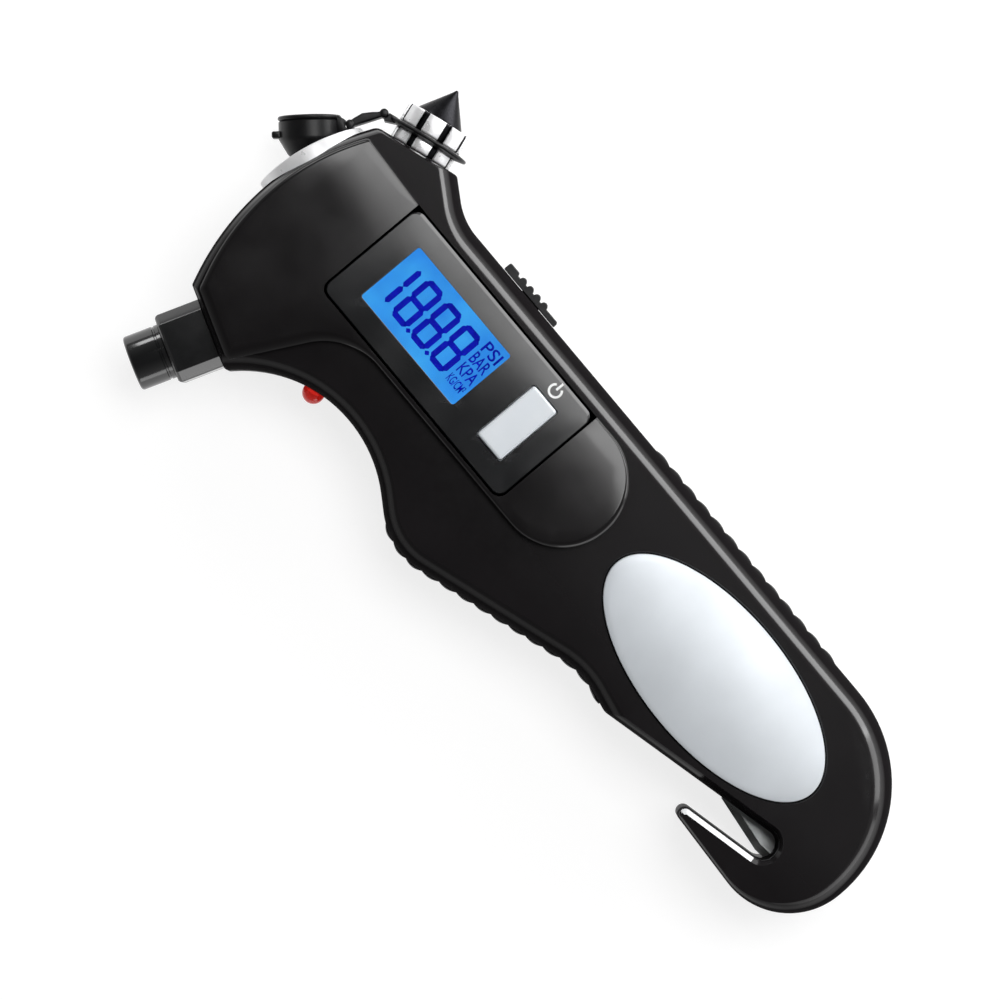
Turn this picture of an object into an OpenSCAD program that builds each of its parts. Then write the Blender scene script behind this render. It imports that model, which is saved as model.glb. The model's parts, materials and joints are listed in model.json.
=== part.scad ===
// Hand tool for the car: digital tire gauge with torch, flasher, window hammer and belt cutter.
// It lies on its back: +Z is the face, +Y points at the head, +X is the palm side.

/* [Casing] */
// Reach of the butt from the middle of the tool
butt_reach = 96; // [92:1:102]
// Reach of the head's crown from the middle of the tool
head_reach = 87; // [85:0.5:92]
// Radius of the head's crown
head_radius = 56; // [50:1:64]
// Reach of the straight palm side from the middle line
palm_reach = 27.6; // [26.5:0.1:30]
// Reach of the hook's outer side from the middle line
hook_reach = 18; // [17:0.5:20]
// Depth of the handle from back to face
case_depth = 25; // [24:0.5:28]
// Height of the plane where the two halves meet
split_h = 13; // [12.5:0.5:14]
// Rise of the display plateau over the face
plateau_rise = 2.5; // [1.5:0.1:3]
// Thickness of the side and back walls
wall = 2; // [1.6:0.1:2.4]
// Thickness of the face
face_wall = 3; // [2.6:0.1:3.4]
// Height of the rounding along the front edge
front_round = 9; // [6:0.5:10]
// Height of the rounding along the back edge
back_round = 5; // [3:0.5:6]
// Radius of the scallop for the fingers
scallop_r = 29; // [24:1:32]

/* [Grips] */
// Height of the grip strips
grip_h = 9; // [6:0.5:10]
// Depth of the grips' seat in the casing
grip_seat = 1.2; // [0.8:0.1:1.4]
// Height of a rib over the casing
rib_rise = 0.5; // [0.3:0.1:0.9]
// Spacing of the ribs
rib_pitch = 4.2; // [3:0.1:6]

/* [Display] */
// Width of the display panel
panel_w = 25.2; // [24.6:0.1:25.8]
// Length of the display panel
panel_l = 54.4; // [52:0.2:56]
// Thickness of the display panel
panel_t = 2.3; // [2:0.1:2.6]
// Width of the clear window
window_w = 15; // [13:0.2:16]
// Length of the clear window
window_l = 28.2; // [26:0.2:30]
// Thickness of the display glass
glass_t = 2; // [1.6:0.1:2.4]
// Thickness of the backlight
backlight_t = 2.5; // [2:0.1:3]
// Thickness of the circuit board
board_t = 1.6; // [1:0.1:2]

/* [Power button] */
// Length of the button across the panel
button_w = 14.9; // [12:0.1:16]
// Width of the button along the panel
button_l = 7; // [6:0.1:8]
// Height of the button over the panel
button_rise = 0.8; // [0.7:0.1:1.4]
// Travel of the button
button_travel = 0.6; // [0.3:0.1:0.6]

/* [Valve chuck] */
// Length of the collar outside the casing
collar_l = 9.4; // [8:0.2:12]
// Width of the collar
collar_w = 14.4; // [13.4:0.2:16]
// Length of the nose
nose_l = 7.7; // [7:0.1:9]
// Radius of the nose
nose_r = 5.7; // [5.3:0.1:6.2]
// Radius of the bore that takes the tire valve
valve_r = 4.1; // [3.95:0.05:4.3]
// Length of the air tube inside the casing
air_tube_l = 16; // [13:0.5:17]

/* [Torch] */
// Radius of the bezel
bezel_r = 11.5; // [11:0.1:11.8]
// Width of the bezel's rim
bezel_rim = 1.7; // [1.4:0.1:2]
// Height of the bezel over the crown of the head
bezel_rise = 1.3; // [0.8:0.1:1.6]
// Thickness of the lens
lens_t = 1.5; // [1.2:0.1:2]
// Depth of the reflector
reflector_l = 8; // [7:0.5:10]

/* [Torch switch] */
// Length of the slider's plate
slider_l = 15.3; // [15:0.1:17]
// Height of the slider's plate
slider_h = 7; // [5:0.2:8]
// Travel of the slider
slider_travel = 4; // [3:0.2:4]

/* [Hammer] */
// Angle of the hammer's axis from the cross direction
hammer_angle = 18.5; // [17:0.5:20]
// Height of the fluted foot
foot_h = 2.55; // [2:0.05:3]
// Radius of the fluted foot
foot_r = 6.8; // [6.4:0.1:7.2]
// Thickness of the cap's rubber ring
ring_t = 1.3; // [1:0.1:1.6]
// Radius of the cap's rubber ring
ring_r = 9.0; // [8.6:0.1:9.4]
// Height of the nut
nut_h = 4; // [3.6:0.1:4.4]
// Radius of the nut
nut_r = 7; // [6.6:0.1:7.2]
// Radius of the point at its base
point_r = 5.0; // [4.4:0.1:5.1]
// Height of the point
point_h = 7; // [6:0.1:7.2]

/* [Hammer cap] */
// Outer radius of the cap
cap_r = 6.4; // [6.2:0.1:6.8]
// Wall of the cap
cap_wall = 1; // [0.8:0.1:1]
// Height of the cap
cap_h = 8.1; // [7.9:0.1:9]
// Thickness of the strap
strap_t = 1.2; // [0.8:0.1:1.4]
// Width of the strap
strap_w = 6; // [4:0.2:7]
// Turn of the strap from the closed to the open cap
strap_fold = 155; // [150:1:158]
// Turn of the cap on the strap from the closed to the open cap
cap_tilt = 58; // [52:1:62]

/* [Belt cutter] */
// Width of the belt slot
slot_w = 5.8; // [5.4:0.1:6.2]
// Thickness of the blade
blade_t = 0.8; // [0.6:0.1:1]

/* [Batteries] */
// Radius of a cell
cell_r = 5.25; // [5:0.05:5.3]
// Length of a cell without its tip
cell_l = 43.5; // [42:0.5:44]
// Spacing of the cells
cell_pitch = 11.8; // [11:0.2:12.4]
// Length of the battery door
door_l = 58; // [57:0.5:59]
// Width of the battery door
door_w = 25; // [24:0.2:26]

/* [Fits] */
// Gap round fixed inserts
seat_gap = 0.1; // [0.05:0.01:0.15]
// Gap round moving pieces
slide_gap = 0.25; // [0.2:0.01:0.3]
// Gap between the cap's hinge beads and their neighbours
bead_gap = 0.25; // [0.2:0.01:0.4]

/* [Hidden] */
$fn = 48;

// Plane vectors and small helpers
function dir(a) = [cos(a), sin(a)];
function left(v) = [-v.y, v.x];
function unit(v) = v / norm(v);
function cross2(a, b) = a.x * b.y - a.y * b.x;
function turned(v, a) = [v.x * cos(a) - v.y * sin(a), v.x * sin(a) + v.y * cos(a)];
function xy(c) = [c.x, c.y];
function at(list, i) = list[(i + len(list)) % len(list)];

// Outlines with rounded corners. A corner is [x, y, fillet radius], and edge i starts at corner i.
seg_l = 4;
turn_step = 15;
least_fillet = 0.15;
function edge(c, i) = xy(at(c, i + 1)) - xy(at(c, i));
function edge_dir(c, i) = unit(edge(c, i));
function turn(c, i) =
    let (a = edge_dir(c, i - 1), b = edge_dir(c, i))
    atan2(cross2(a, b), a * b);
function tangent_l(c, i) = at(c, i).z * tan(abs(turn(c, i)) / 2);
function fillet_share(c, i) =
    min(1,
        0.99 * norm(edge(c, i - 1)) / (tangent_l(c, i - 1) + tangent_l(c, i)),
        0.99 * norm(edge(c, i)) / (tangent_l(c, i) + tangent_l(c, i + 1)));
function arc_steps(c, i) =
    let (a = abs(turn(c, i)))
    max(2, ceil(a / turn_step), ceil(at(c, i).z * a * PI / 180 / seg_l));
function inset_corner(c, i, ins) =
    let (
        a = edge_dir(c, i - 1), b = edge_dir(c, i), da = at(ins, i - 1), db = at(ins, i),
        slide = (db - da * (a * b)) / -cross2(a, b),
        p = xy(c[i]) + left(a) * da + a * slide,
        r = c[i].z - sign(turn(c, i)) * (da + db) / 2
    ) [p.x, p.y, max(least_fillet, r)];
function inset(c, ins) = [for (i = [0:len(c) - 1]) inset_corner(c, i, ins)];
function fillet_arc(c, i, steps) =
    let (
        a = edge_dir(c, i - 1), w = turn(c, i), s = sign(w),
        r = c[i].z * fillet_share(c, i),
        centre = xy(c[i]) - a * r * tan(abs(w) / 2) + left(a) * r * s
    ) [for (k = [0:steps]) centre - turned(left(a) * r * s, w * k / steps)];
function ring(c, ins) =
    let (d = inset(c, ins))
    [for (i = [0:len(c) - 1]) each fillet_arc(d, i, arc_steps(c, i))];
function outline(c) = ring(c, [for (i = c) 0]);

// Solid through rings of equal counts, one above the other
module loft(rings, heights) {
    n = len(rings[0]);
    last = len(rings) - 1;
    points = [for (j = [0:last]) for (p = rings[j]) [p.x, p.y, heights[j]]];
    sides = [
        for (j = [0:last - 1]) for (i = [0:n - 1])
            let (k = (i + 1) % n, a = j * n, b = a + n)
            each [[a + i, b + i, b + k], [a + i, b + k, a + k]]
    ];
    floor_face = [for (i = [0:n - 1]) i];
    roof_face = [for (i = [n - 1:-1:0]) last * n + i];
    polyhedron(points, concat(sides, [floor_face, roof_face]), convexity = 10);
}

// Turns local +Z to a level direction at the height of the split
module aim(p, a) {
    translate([p.x, p.y, split_h]) rotate([0, 0, a]) rotate([0, 90, 0]) children();
}

module tube(r, bore, h) {
    difference() {
        cylinder(r = r, h = h);
        translate([0, 0, -1]) cylinder(r = bore, h = h + 2);
    }
}

// Block given by its low corner and its size, with rounded upright edges
module rounded_block(low, size, r) {
    corners = [[0, 0, r], [size.x, 0, r], [size.x, size.y, r], [0, size.y, r]];
    translate(low) linear_extrude(size.z) polygon(outline(corners));
}

// Hammer: axis, lengthwise stations and places
hammer_dir = dir(hammer_angle);
hammer_side = left(hammer_dir);
hammer_at = [29.55, head_reach - 14.7];
function on_hammer(h, l) = hammer_at + hammer_dir * h + hammer_side * l;
ring_z = foot_h;
nut_z = ring_z + ring_t;
point_z = nut_z + nut_h;
cap_z = point_z + 0.3;
stud_r = 2.4;
stud_seat_r = stud_r + seat_gap;
anchor_r = 3;
anchor_l = 8;
anchor_flange_r = 5;
anchor_flange_t = 2;

// Chuck: axis and lengthwise stations
chuck_angle = 161;
chuck_dir = dir(chuck_angle);
chuck_at = [-25.7, head_reach - 15.6];
function on_chuck(s, l) = chuck_at + chuck_dir * s - left(chuck_dir) * l;
spigot_r = 5.4;
flange_t = 2;
flange_r = 6.8;
nose_spigot_r = 4.8;
nose_spigot_l = 4;
seal_t = 1.4;
seal_r = valve_r - 0.3;
seal_z = collar_l - 1.9;
pin_r = 0.9;
pin_head_r = 2.4;
air_tube_r = 2.5;
air_bore_r = 1.25;
sensor_r = 5;
sensor_l = 8;

// Belt slot: round closed end and direction towards its mouth
slot_end = [-6.9, -78];
slot_dir = dir(103.5);
slot_side = left(slot_dir);
prong_l = 18;
function on_slot(s, l) = slot_end + slot_dir * s + slot_side * l;
slot_low = -slot_w / 2;
inner_wall_l = 41;

// Casing outline, counter-clockwise from the hook's butt corner
function corner(p, r) = [p.x, p.y, r];
hip = [-26.4, 15.2];
waist = [-12.3, -28.5];
crown_x = 1.8;
crown_lift = 5.1;
nozzle_low = -8;
nozzle_high = 10.4;
case_corners = [
    [-hook_reach, -butt_reach, 16],
    [palm_reach, -butt_reach, 29.5],
    [palm_reach, head_reach - 31, 14],
    corner(on_hammer(0, -9), 1),
    corner(on_hammer(0, 9.7), 2.5),
    [crown_x, head_reach + crown_lift, head_radius],
    corner(on_chuck(0, nozzle_high), 0.8),
    corner(on_chuck(0, nozzle_low), 1),
    [-5.7, 47.4, scallop_r],
    corner(hip, 16),
    corner(waist, 20),
    corner(on_slot(inner_wall_l, slot_low + 0.4), 3),
    corner(on_slot(slot_low, slot_low), slot_w / 2),
    corner(on_slot(slot_low, -slot_low), slot_w / 2),
    corner(on_slot(prong_l, -slot_low), 1.6),
    corner(on_slot(prong_l - 1, 2.7 - slot_low), 1.2)
];
edge_round = [5, 6, 5, 1.2, 2.4, 2.4, 1.2, 4, 4, 4.5, 4, 2.2, 0.9, 0.9, 0.9, 1];
back_share = 0.8;

// Plateau outline: straight palm side, round lower end, follows the crown of the head
plateau_right = 23.2;
plateau_left = -4.9;
plateau_end = -9.8;
plateau_r = (plateau_right - plateau_left) / 2 - 0.1;
crown_inset = 2.4;
plateau_corners = [
    [plateau_left, plateau_end, plateau_r],
    [plateau_right, plateau_end, plateau_r],
    [plateau_right, head_reach - 7.4, 1.2],
    [crown_x, head_reach + crown_lift - crown_inset - 0.4, head_radius - crown_inset],
    corner(on_chuck(-2.2, nozzle_high - 2.6), 1.5),
    corner(on_chuck(-2.2, nozzle_low + 1.4), 1.5),
    [plateau_left, 53, 14]
];
plateau_top = case_depth + plateau_rise;

// Hollow of the casing: the casing's own corners, closed off above the hook
bay_floor = -66;
function on_slot_wall(y) = on_slot((y - slot_end.y - slot_side.y * slot_low) / slot_dir.y, slot_low);
hollow_corners = concat(
    [corner(on_slot_wall(bay_floor), 2), [palm_reach, bay_floor, 6]],
    [for (i = [2:11]) case_corners[i]]
);
hollow_round = concat([0], [for (i = [1:11]) edge_round[i]]);

// Display stack, from the panel down
panel_x = -2.75;
panel_y = 9;
panel_proud = 0.3;
panel_top = plateau_top + panel_proud;
panel_under = panel_top - panel_t;
window_x = 2.2;
window_y = 29;
window_lip = 1;
window_lip_t = 0.8;
glass_under = panel_under - window_lip_t - glass_t;
board_top = glass_under - backlight_t;
board_under = board_top - board_t;
board_low = [-1.4, 7];
board_size = [22.4, 58.6];
ledge_low = [0.6, 12.4];
ledge_size = [18.2, 46.6];
zebra_w = 1.2;
button_low = [2.2, 14.5];
button_flange = 0.8;
button_flange_t = 0.6;
button_under = panel_under - slide_gap - button_flange_t;

// Torch: axis along +Y
torch_x = 12.5;
lens_y = head_reach - 6.6;
lens_r = bezel_r - bezel_rim;
crown_centre = [crown_x, head_reach - head_radius];

// Slider on the palm side
slider_y = 28.2;
slider_x = palm_reach + slide_gap;
slider_t = 1.7;
stem_y = slider_y + 4.6;
stem_l = 5;
stem_h = 3;
stem_tip_x = palm_reach - 4;
switch_back_x = palm_reach - 8.2;

// Flasher lamp in the scallop
flasher_at = [-17.45, 49.2];
flasher_angle = 198.5;
flasher_r = 2.3;
flasher_rise = 0.2;
flasher_rim_r = 2.9;
flasher_rim_t = 1;
flasher_sink = 0.6;

// Battery bay
bay_x = 9.1;
spring_l = 2.6;
tip_room = 1.2;
contact_t = 0.4;
bay_end_y = bay_floor + wall + seat_gap;
cell_floor_y = bay_end_y + contact_t + spring_l;
cell_top_y = cell_floor_y + cell_l;
bay_top_y = cell_top_y + tip_room + contact_t + seat_gap;
cell_h = wall + 0.5 + cell_r;
door_y = -65;
bay_wall_t = 1.4;
screw_boss_r = 3.4;
door_screw_at = [bay_x, bay_top_y + bay_wall_t + screw_boss_r + 0.4];
door_t = wall / 2 + 0.2;
door_sink = door_t - 0.5;

// Case screws and their bosses
boss_r = 3;
screw_r = 1.25;
head_r = 2.3;
head_seat = 1.6;
boss_bite = 0.4;
boss_spots = [
    [-14.5, head_reach - 9.2], [-18.6, 12.5], [palm_reach - wall - boss_r + boss_bite, 2], [11, -85.5]
];

function front_rows() = concat(
    [[split_h, 0], [case_depth - front_round, 0]],
    [for (t = [18:18:90]) [case_depth - front_round * (1 - sin(t)), 1 - cos(t)]]
);
function back_rows() = concat(
    [for (t = [90:-22.5:0]) [back_round * (1 - sin(t)), back_share * (1 - cos(t))]],
    [[split_h, 0]]
);

module cased(rows) {
    loft([for (r = rows) ring(case_corners, edge_round * r[1])], [for (r = rows) r[0]]);
}

// Hollow of one half: the wall is kept all round.
// A row is [height, share of the rounding, share of the skin].
module hollowed(rows, skin) {
    walls = [for (i = hollow_corners) wall];
    loft(
        [for (r = rows) ring(hollow_corners, walls + hollow_round * r[1])],
        [for (r = rows) r[0] + skin * r[2]]
    );
}

// Screw boss with two gussets that stiffen it
module boss(p, low, high, r) {
    gusset_t = 1.2;
    gusset_l = 3;
    translate([p.x, p.y, low]) cylinder(r = r, h = high - low);
    for (a = [45, 225])
        hull() {
            translate([p.x, p.y, low]) cylinder(d = gusset_t, h = high - low, $fn = 12);
            translate([p.x, p.y, high - 1] + (r + gusset_l) * [cos(a), sin(a), 0])
                cylinder(d = gusset_t, h = 1, $fn = 12);
        }
}

// Hole for a round stem, with room behind the wall for its flange
module flanged_cut(stem_r, rim_r, rim_t, sink) {
    reach = 12;
    translate([0, 0, -wall - sink - rim_t]) cylinder(r = stem_r + seat_gap, h = reach);
    back_room = rim_t + 2 * seat_gap + 1;
    translate([0, 0, -wall - sink - back_room])
        cylinder(r = rim_r + seat_gap, h = back_room);
}

// Everything that passes through the seam of the two halves
module seam_cuts() {
    aim(chuck_at, chuck_angle) flanged_cut(spigot_r, flange_r, flange_t, 0);
    aim(hammer_at, hammer_angle) flanged_cut(anchor_r, anchor_flange_r, anchor_flange_t, 0);
    aim(flasher_at, flasher_angle) flanged_cut(flasher_r, flasher_rim_r, flasher_rim_t, flasher_sink);
    translate([torch_x, lens_y - 8, split_h]) rotate([-90, 0, 0])
        cylinder(r = bezel_r + seat_gap, h = 20);
    translate([palm_reach - wall - 2, stem_y - slide_gap, split_h - stem_h / 2 - slide_gap])
        cube([wall + 4, stem_l + slider_travel + 2 * slide_gap, stem_h + 2 * slide_gap]);
    switch_body(seat_gap / 2);
    grip_seats();
    blade_pocket();
}

module front_shell() {
    color("#17181b")
    difference() {
        union() {
            difference() {
                union() {
                    cased(front_rows());
                    plateau();
                }
                hollowed(front_hollow_rows(), face_wall);
            }
            intersection() {
                union() {
                    for (p = boss_spots) boss(p, split_h, case_depth - 1, boss_r);
                    board_posts();
                    cell_ribs();
                }
                cased(front_rows());
            }
        }
        for (p = boss_spots) translate([p.x, p.y, split_h - 1]) cylinder(r = screw_r, h = 9, $fn = 24);
        rounded_block(
            [panel_x - seat_gap, panel_y - seat_gap, panel_under],
            [panel_w + 2 * seat_gap, panel_l + 2 * seat_gap, 9], 2
        );
        rounded_block(
            [ledge_low.x, ledge_low.y, case_depth - face_wall - 1],
            [ledge_size.x, ledge_size.y, 9], 1
        );
        inlay_recess();
        seam_cuts();
    }
}

module plateau() {
    rows = [[0, 0], [0.55, 0], [0.85, 0.35], [1, 1]];
    soft_edge = [for (i = plateau_corners) 0.8];
    base = case_depth - 2;
    loft(
        [for (r = rows) ring(plateau_corners, soft_edge * r[1])],
        [for (r = rows) base + (plateau_rise + 2) * r[0]]
    );
}

function front_hollow_rows() = [
    [split_h - 1, 0, 0], [case_depth - front_round, 0, 0],
    [case_depth - front_round * 0.4, 0.35, -1], [case_depth, 0.9, -1]
];
function back_hollow_rows() = [
    [wall, back_share * 0.6, 0], [back_round + 1, 0, 0], [split_h + 1, 0, 0]
];

// Posts that carry the circuit board, from the roof of the front half
module board_posts() {
    post_r = 1.6;
    for (x = [board_low.x + post_r, board_low.x + board_size.x - post_r])
        for (y = [board_low.y + post_r, board_low.y + board_size.y - post_r])
            translate([x, y, board_top]) cylinder(r = post_r, h = case_depth - board_top - 1, $fn = 16);
}

// Ribs of the front half that keep the cells down
module cell_ribs() {
    rib_t = 1.4;
    over = 0.3;
    for (y = [cell_floor_y + 8, cell_floor_y + cell_l - 8])
        for (x = [bay_x - cell_pitch / 2, bay_x + cell_pitch / 2])
            hull() {
                translate([x - 2, y, cell_h + cell_r + over]) cube([4, rib_t, 1]);
                translate([x - 4, y, case_depth - face_wall]) cube([8, rib_t, 1]);
            }
}

module rear_shell() {
    color("#141518")
    difference() {
        union() {
            difference() {
                cased(back_rows());
                hollowed(back_hollow_rows(), 0);
            }
            intersection() {
                union() {
                    for (p = boss_spots) boss(p, 1, split_h, boss_r);
                    translate([door_screw_at.x, door_screw_at.y, 1]) cylinder(r = screw_boss_r, h = 6);
                    bay_end_wall();
                }
                cased(back_rows());
            }
        }
        for (p = boss_spots) translate([p.x, p.y, -1]) {
            cylinder(r = screw_r + 0.2, h = split_h + 2, $fn = 24);
            cylinder(r = head_r + 0.2, h = 1 + head_seat + 1.6, $fn = 24);
        }
        translate([door_screw_at.x, door_screw_at.y, -1]) cylinder(r = screw_r, h = 7, $fn = 24);
        door_opening();
        seam_cuts();
    }
}

// Upright wall at the head end of the battery bay, which carries the contacts
module bay_end_wall() {
    translate([bay_x - door_w / 2, bay_top_y, 1]) cube([door_w, bay_wall_t, cell_h + cell_r - 2]);
}

module door_opening() {
    lip = 1.2;
    sill = 0.4;
    low = [bay_x - door_w / 2, door_y];
    rounded_block(
        [low.x - seat_gap, low.y - seat_gap, -1],
        [door_w + 2 * seat_gap, door_l + 2 * seat_gap, door_t + 1], 3
    );
    rounded_block(
        [low.x + lip, bay_end_y, door_t - 0.5],
        [door_w - 2 * lip, bay_top_y - bay_end_y - sill, wall + 1], 1
    );
    door_tab(seat_gap, -1, door_t + 1);
}

// Tab of the door round its screw, which stands behind the end of the bay
module door_tab(grow, low, h) {
    translate([door_screw_at.x, door_screw_at.y, low]) cylinder(r = screw_boss_r + grow, h = h);
}

// Grip strips follow the casing's upright side, with round ribs standing proud of it
grip_mid = (back_round + case_depth - front_round) / 2 + 1;
function path_step(path, i) = i + 1 < len(path) ? norm(path[i + 1] - path[i]) : 0;
function path_l(path) = [
    for (i = 0, s = 0; i < len(path); s = s + path_step(path, i), i = i + 1) s
];
function path_point(path, s) =
    let (l = path_l(path), i = max([for (k = [0:len(path) - 2]) if (l[k] <= s) k]))
    path[i] + unit(path[i + 1] - path[i]) * (s - l[i]);
function path_normal(path, s) =
    let (d = path_point(path, s + 0.5) - path_point(path, max(0, s - 0.5)))
    -left(unit(d));
function finger_path() = concat(
    [for (k = [1:8]) fillet_arc(case_corners, 9, 8)[k]],
    fillet_arc(case_corners, 10, 4),
    [xy(case_corners[11]) + [0.1, 2]]
);
palm_grip_low = -60;
palm_grip_high = -4;
function palm_path() = [[palm_reach, palm_grip_low], [palm_reach, palm_grip_high]];

// Band along a path: its outer side stands off by lift, and by rise more on each rib
module strip(path, lift, rise, seat, h) {
    total = max(path_l(path));
    per_rib = 5;
    steps = per_rib * max(1, round(total / rib_pitch));
    stations = [for (k = [0:steps]) min(total * k / steps, total - 0.01)];
    outer = [
        for (k = [0:steps])
            path_point(path, stations[k])
            + path_normal(path, stations[k]) * (lift + rise * abs(sin(180 * k / per_rib)))
    ];
    inner = [
        for (k = [steps:-per_rib:0])
            path_point(path, stations[k]) - path_normal(path, stations[k]) * seat
    ];
    translate([0, 0, grip_mid - h / 2]) linear_extrude(h) polygon(concat(outer, inner));
}

module grip_seats() {
    clear_of_casing = 3;
    for (path = [finger_path(), palm_path()])
        strip(path, clear_of_casing, 0, grip_seat, grip_h);
}

module grip(path) {
    color("#101113") strip(path, 0, rib_rise, grip_seat - seat_gap, grip_h - 2 * seat_gap);
}

module finger_grip() {
    grip(finger_path());
}

module palm_grip() {
    grip(palm_path());
}

// Oval inlay: a straight rim with a shallow dome on it
inlay_at = [7.1, -46.1];
inlay_r = [13.9, 30.1];
inlay_sink = 1.4;
inlay_rim = 0.2;
inlay_crown = 1.2;
function oval(grow) = [
    for (a = [0:7.5:352.5]) inlay_at + [(inlay_r.x + grow) * cos(a), (inlay_r.y + grow) * sin(a)]
];

module inlay_recess() {
    translate([0, 0, case_depth - inlay_sink]) linear_extrude(9) polygon(oval(seat_gap));
}

module handle_inlay() {
    shares = [1, 0.94, 0.82, 0.64, 0.4, 0.12];
    color("#c9ced6") {
        translate([0, 0, case_depth - inlay_sink]) linear_extrude(inlay_sink + inlay_rim) polygon(oval(0));
        loft(
            [for (f = shares) [for (p = oval(0)) inlay_at + (p - inlay_at) * f]],
            [for (f = shares) case_depth + inlay_rim + inlay_crown * (1 - f * f)]
        );
    }
}

module display_panel() {
    color("#3a3c40")
    difference() {
        rounded_block([panel_x, panel_y, panel_under], [panel_w, panel_l, panel_t], 2);
        rounded_block(
            [window_x - seat_gap, window_y - seat_gap, panel_under - 1],
            [window_w + 2 * seat_gap, window_l + 2 * seat_gap, panel_t + 2], 0.6
        );
        rounded_block(
            [button_low.x - slide_gap, button_low.y - slide_gap, panel_under - 1],
            [button_w + 2 * slide_gap, button_l + 2 * slide_gap, panel_t + 2], 0.6
        );
    }
}

module lcd_window() {
    color("#9fd4f5", 0.6) {
        rounded_block([window_x, window_y, panel_under], [window_w, window_l, panel_t - 0.3], 0.6);
        translate([window_x - window_lip, window_y - window_lip, panel_under - window_lip_t])
            cube([window_w + 2 * window_lip, window_l + 2 * window_lip, window_lip_t]);
    }
}

module lcd_glass() {
    color("#4aa5e8")
    translate([window_x - window_lip, window_y - window_lip, glass_under])
        cube([window_w + 2 * window_lip, window_l + 2 * window_lip, glass_t]);
}

module lcd_backlight() {
    color("#e8f4ff")
    translate([window_x - window_lip + zebra_w + seat_gap, window_y, board_top])
        cube([window_w + 2 * (window_lip - zebra_w - seat_gap), window_l, backlight_t]);
}

module zebra_strips() {
    color("#d98fb0")
    for (x = [window_x - window_lip, window_x + window_w + window_lip - zebra_w])
        translate([x, window_y, board_top]) cube([zebra_w, window_l, backlight_t]);
}

module main_board() {
    color("#1f6b3a")
    translate([board_low.x, board_low.y, board_under]) cube([board_size.x, board_size.y, board_t]);
}

module power_button() {
    low = [button_low.x, button_low.y, button_under + button_flange_t];
    color("#d3d7de") {
        rounded_block(low, [button_w, button_l, panel_top + button_rise - low.z], 0.5);
        translate([low.x - button_flange, low.y - button_flange, button_under])
            cube([button_w + 2 * button_flange, button_l + 2 * button_flange, button_flange_t]);
    }
}

module tact_switch() {
    body_w = 6;
    plunger_r = 1.7;
    plunger_h = 0.6;
    centre = button_low + [button_w, button_l] / 2;
    top = button_under - button_travel - 0.1;
    color("#2b2b2e") {
        translate([centre.x - body_w / 2, centre.y - body_w / 2, board_top])
            cube([body_w, body_w, top - board_top - plunger_h]);
        translate([centre.x, centre.y, top - plunger_h])
            cylinder(r = plunger_r, h = plunger_h);
    }
}

module chuck_collar() {
    cut = 2.2;
    half = collar_w / 2;
    color("#2a2b2f") aim(chuck_at, chuck_angle) difference() {
        union() {
            linear_extrude(collar_l) polygon([
                [cut - half, -half], [half - cut, -half], [half, cut - half], [half, half - cut],
                [half - cut, half], [cut - half, half], [-half, half - cut], [-half, cut - half]
            ]);
            translate([0, 0, -wall - flange_t - seat_gap]) cylinder(r = spigot_r, h = wall + flange_t + 1);
            translate([0, 0, -wall - flange_t - seat_gap]) cylinder(r = flange_r, h = flange_t);
        }
        translate([0, 0, collar_l - nose_spigot_l]) cylinder(r = nose_spigot_r + seat_gap / 2, h = 9);
        translate([0, 0, collar_l - nose_spigot_l - 2]) cylinder(r = pin_head_r + seat_gap, h = 3);
        translate([0, 0, -wall - flange_t - 1])
            cylinder(r = air_tube_r + seat_gap / 2, h = wall + flange_t + 2.4);
        translate([0, 0, -1]) cylinder(r = air_bore_r, h = collar_l);
    }
}

module chuck_tip() {
    mouth_lip = 0.5;
    color("#232428") aim(chuck_at, chuck_angle) difference() {
        union() {
            translate([0, 0, collar_l]) cylinder(r = nose_r, h = nose_l - mouth_lip);
            translate([0, 0, collar_l + nose_l - mouth_lip])
                cylinder(r1 = nose_r, r2 = nose_r - mouth_lip, h = mouth_lip);
            translate([0, 0, collar_l - nose_spigot_l]) cylinder(r = nose_spigot_r, h = nose_spigot_l);
        }
        translate([0, 0, seal_z]) cylinder(r = seal_r, h = nose_l);
        translate([0, 0, seal_z + seal_t]) cylinder(r = valve_r, h = nose_l + 9);
        translate([0, 0, collar_l - nose_spigot_l - 1]) cylinder(r = air_bore_r + 0.3, h = 9);
    }
}

module chuck_seal() {
    color("#0c0c0d") aim(chuck_at, chuck_angle)
    translate([0, 0, seal_z]) tube(seal_r - seat_gap / 2, air_bore_r + 0.3, seal_t);
}

module depressor_pin() {
    head_t = 1;
    base = collar_l - nose_spigot_l - head_t;
    color("#c8b070") aim(chuck_at, chuck_angle) {
        translate([0, 0, base]) tube(pin_head_r, 0.4, head_t);
        translate([0, 0, base]) cylinder(r = pin_r, h = seal_z + seal_t - base);
    }
}

module air_tube() {
    color("#b8923f") aim(chuck_at, chuck_angle)
    translate([0, 0, -air_tube_l]) tube(air_tube_r, air_bore_r, air_tube_l + 1);
}

module pressure_sensor() {
    port_r = 3.4;
    port_l = 3;
    color("#b9bcc2") aim(chuck_at, chuck_angle) difference() {
        union() {
            translate([0, 0, -air_tube_l - sensor_l]) cylinder(r = sensor_r, h = sensor_l);
            translate([0, 0, -air_tube_l]) cylinder(r = port_r, h = port_l);
        }
        translate([0, 0, -air_tube_l]) cylinder(r = air_tube_r + seat_gap / 2, h = port_l + 1);
        translate([0, 0, -air_tube_l - 2]) cylinder(r = air_bore_r, h = 3);
    }
}

module along_torch(y) {
    translate([torch_x, y, split_h]) rotate([-90, 0, 0]) children();
}

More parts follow.
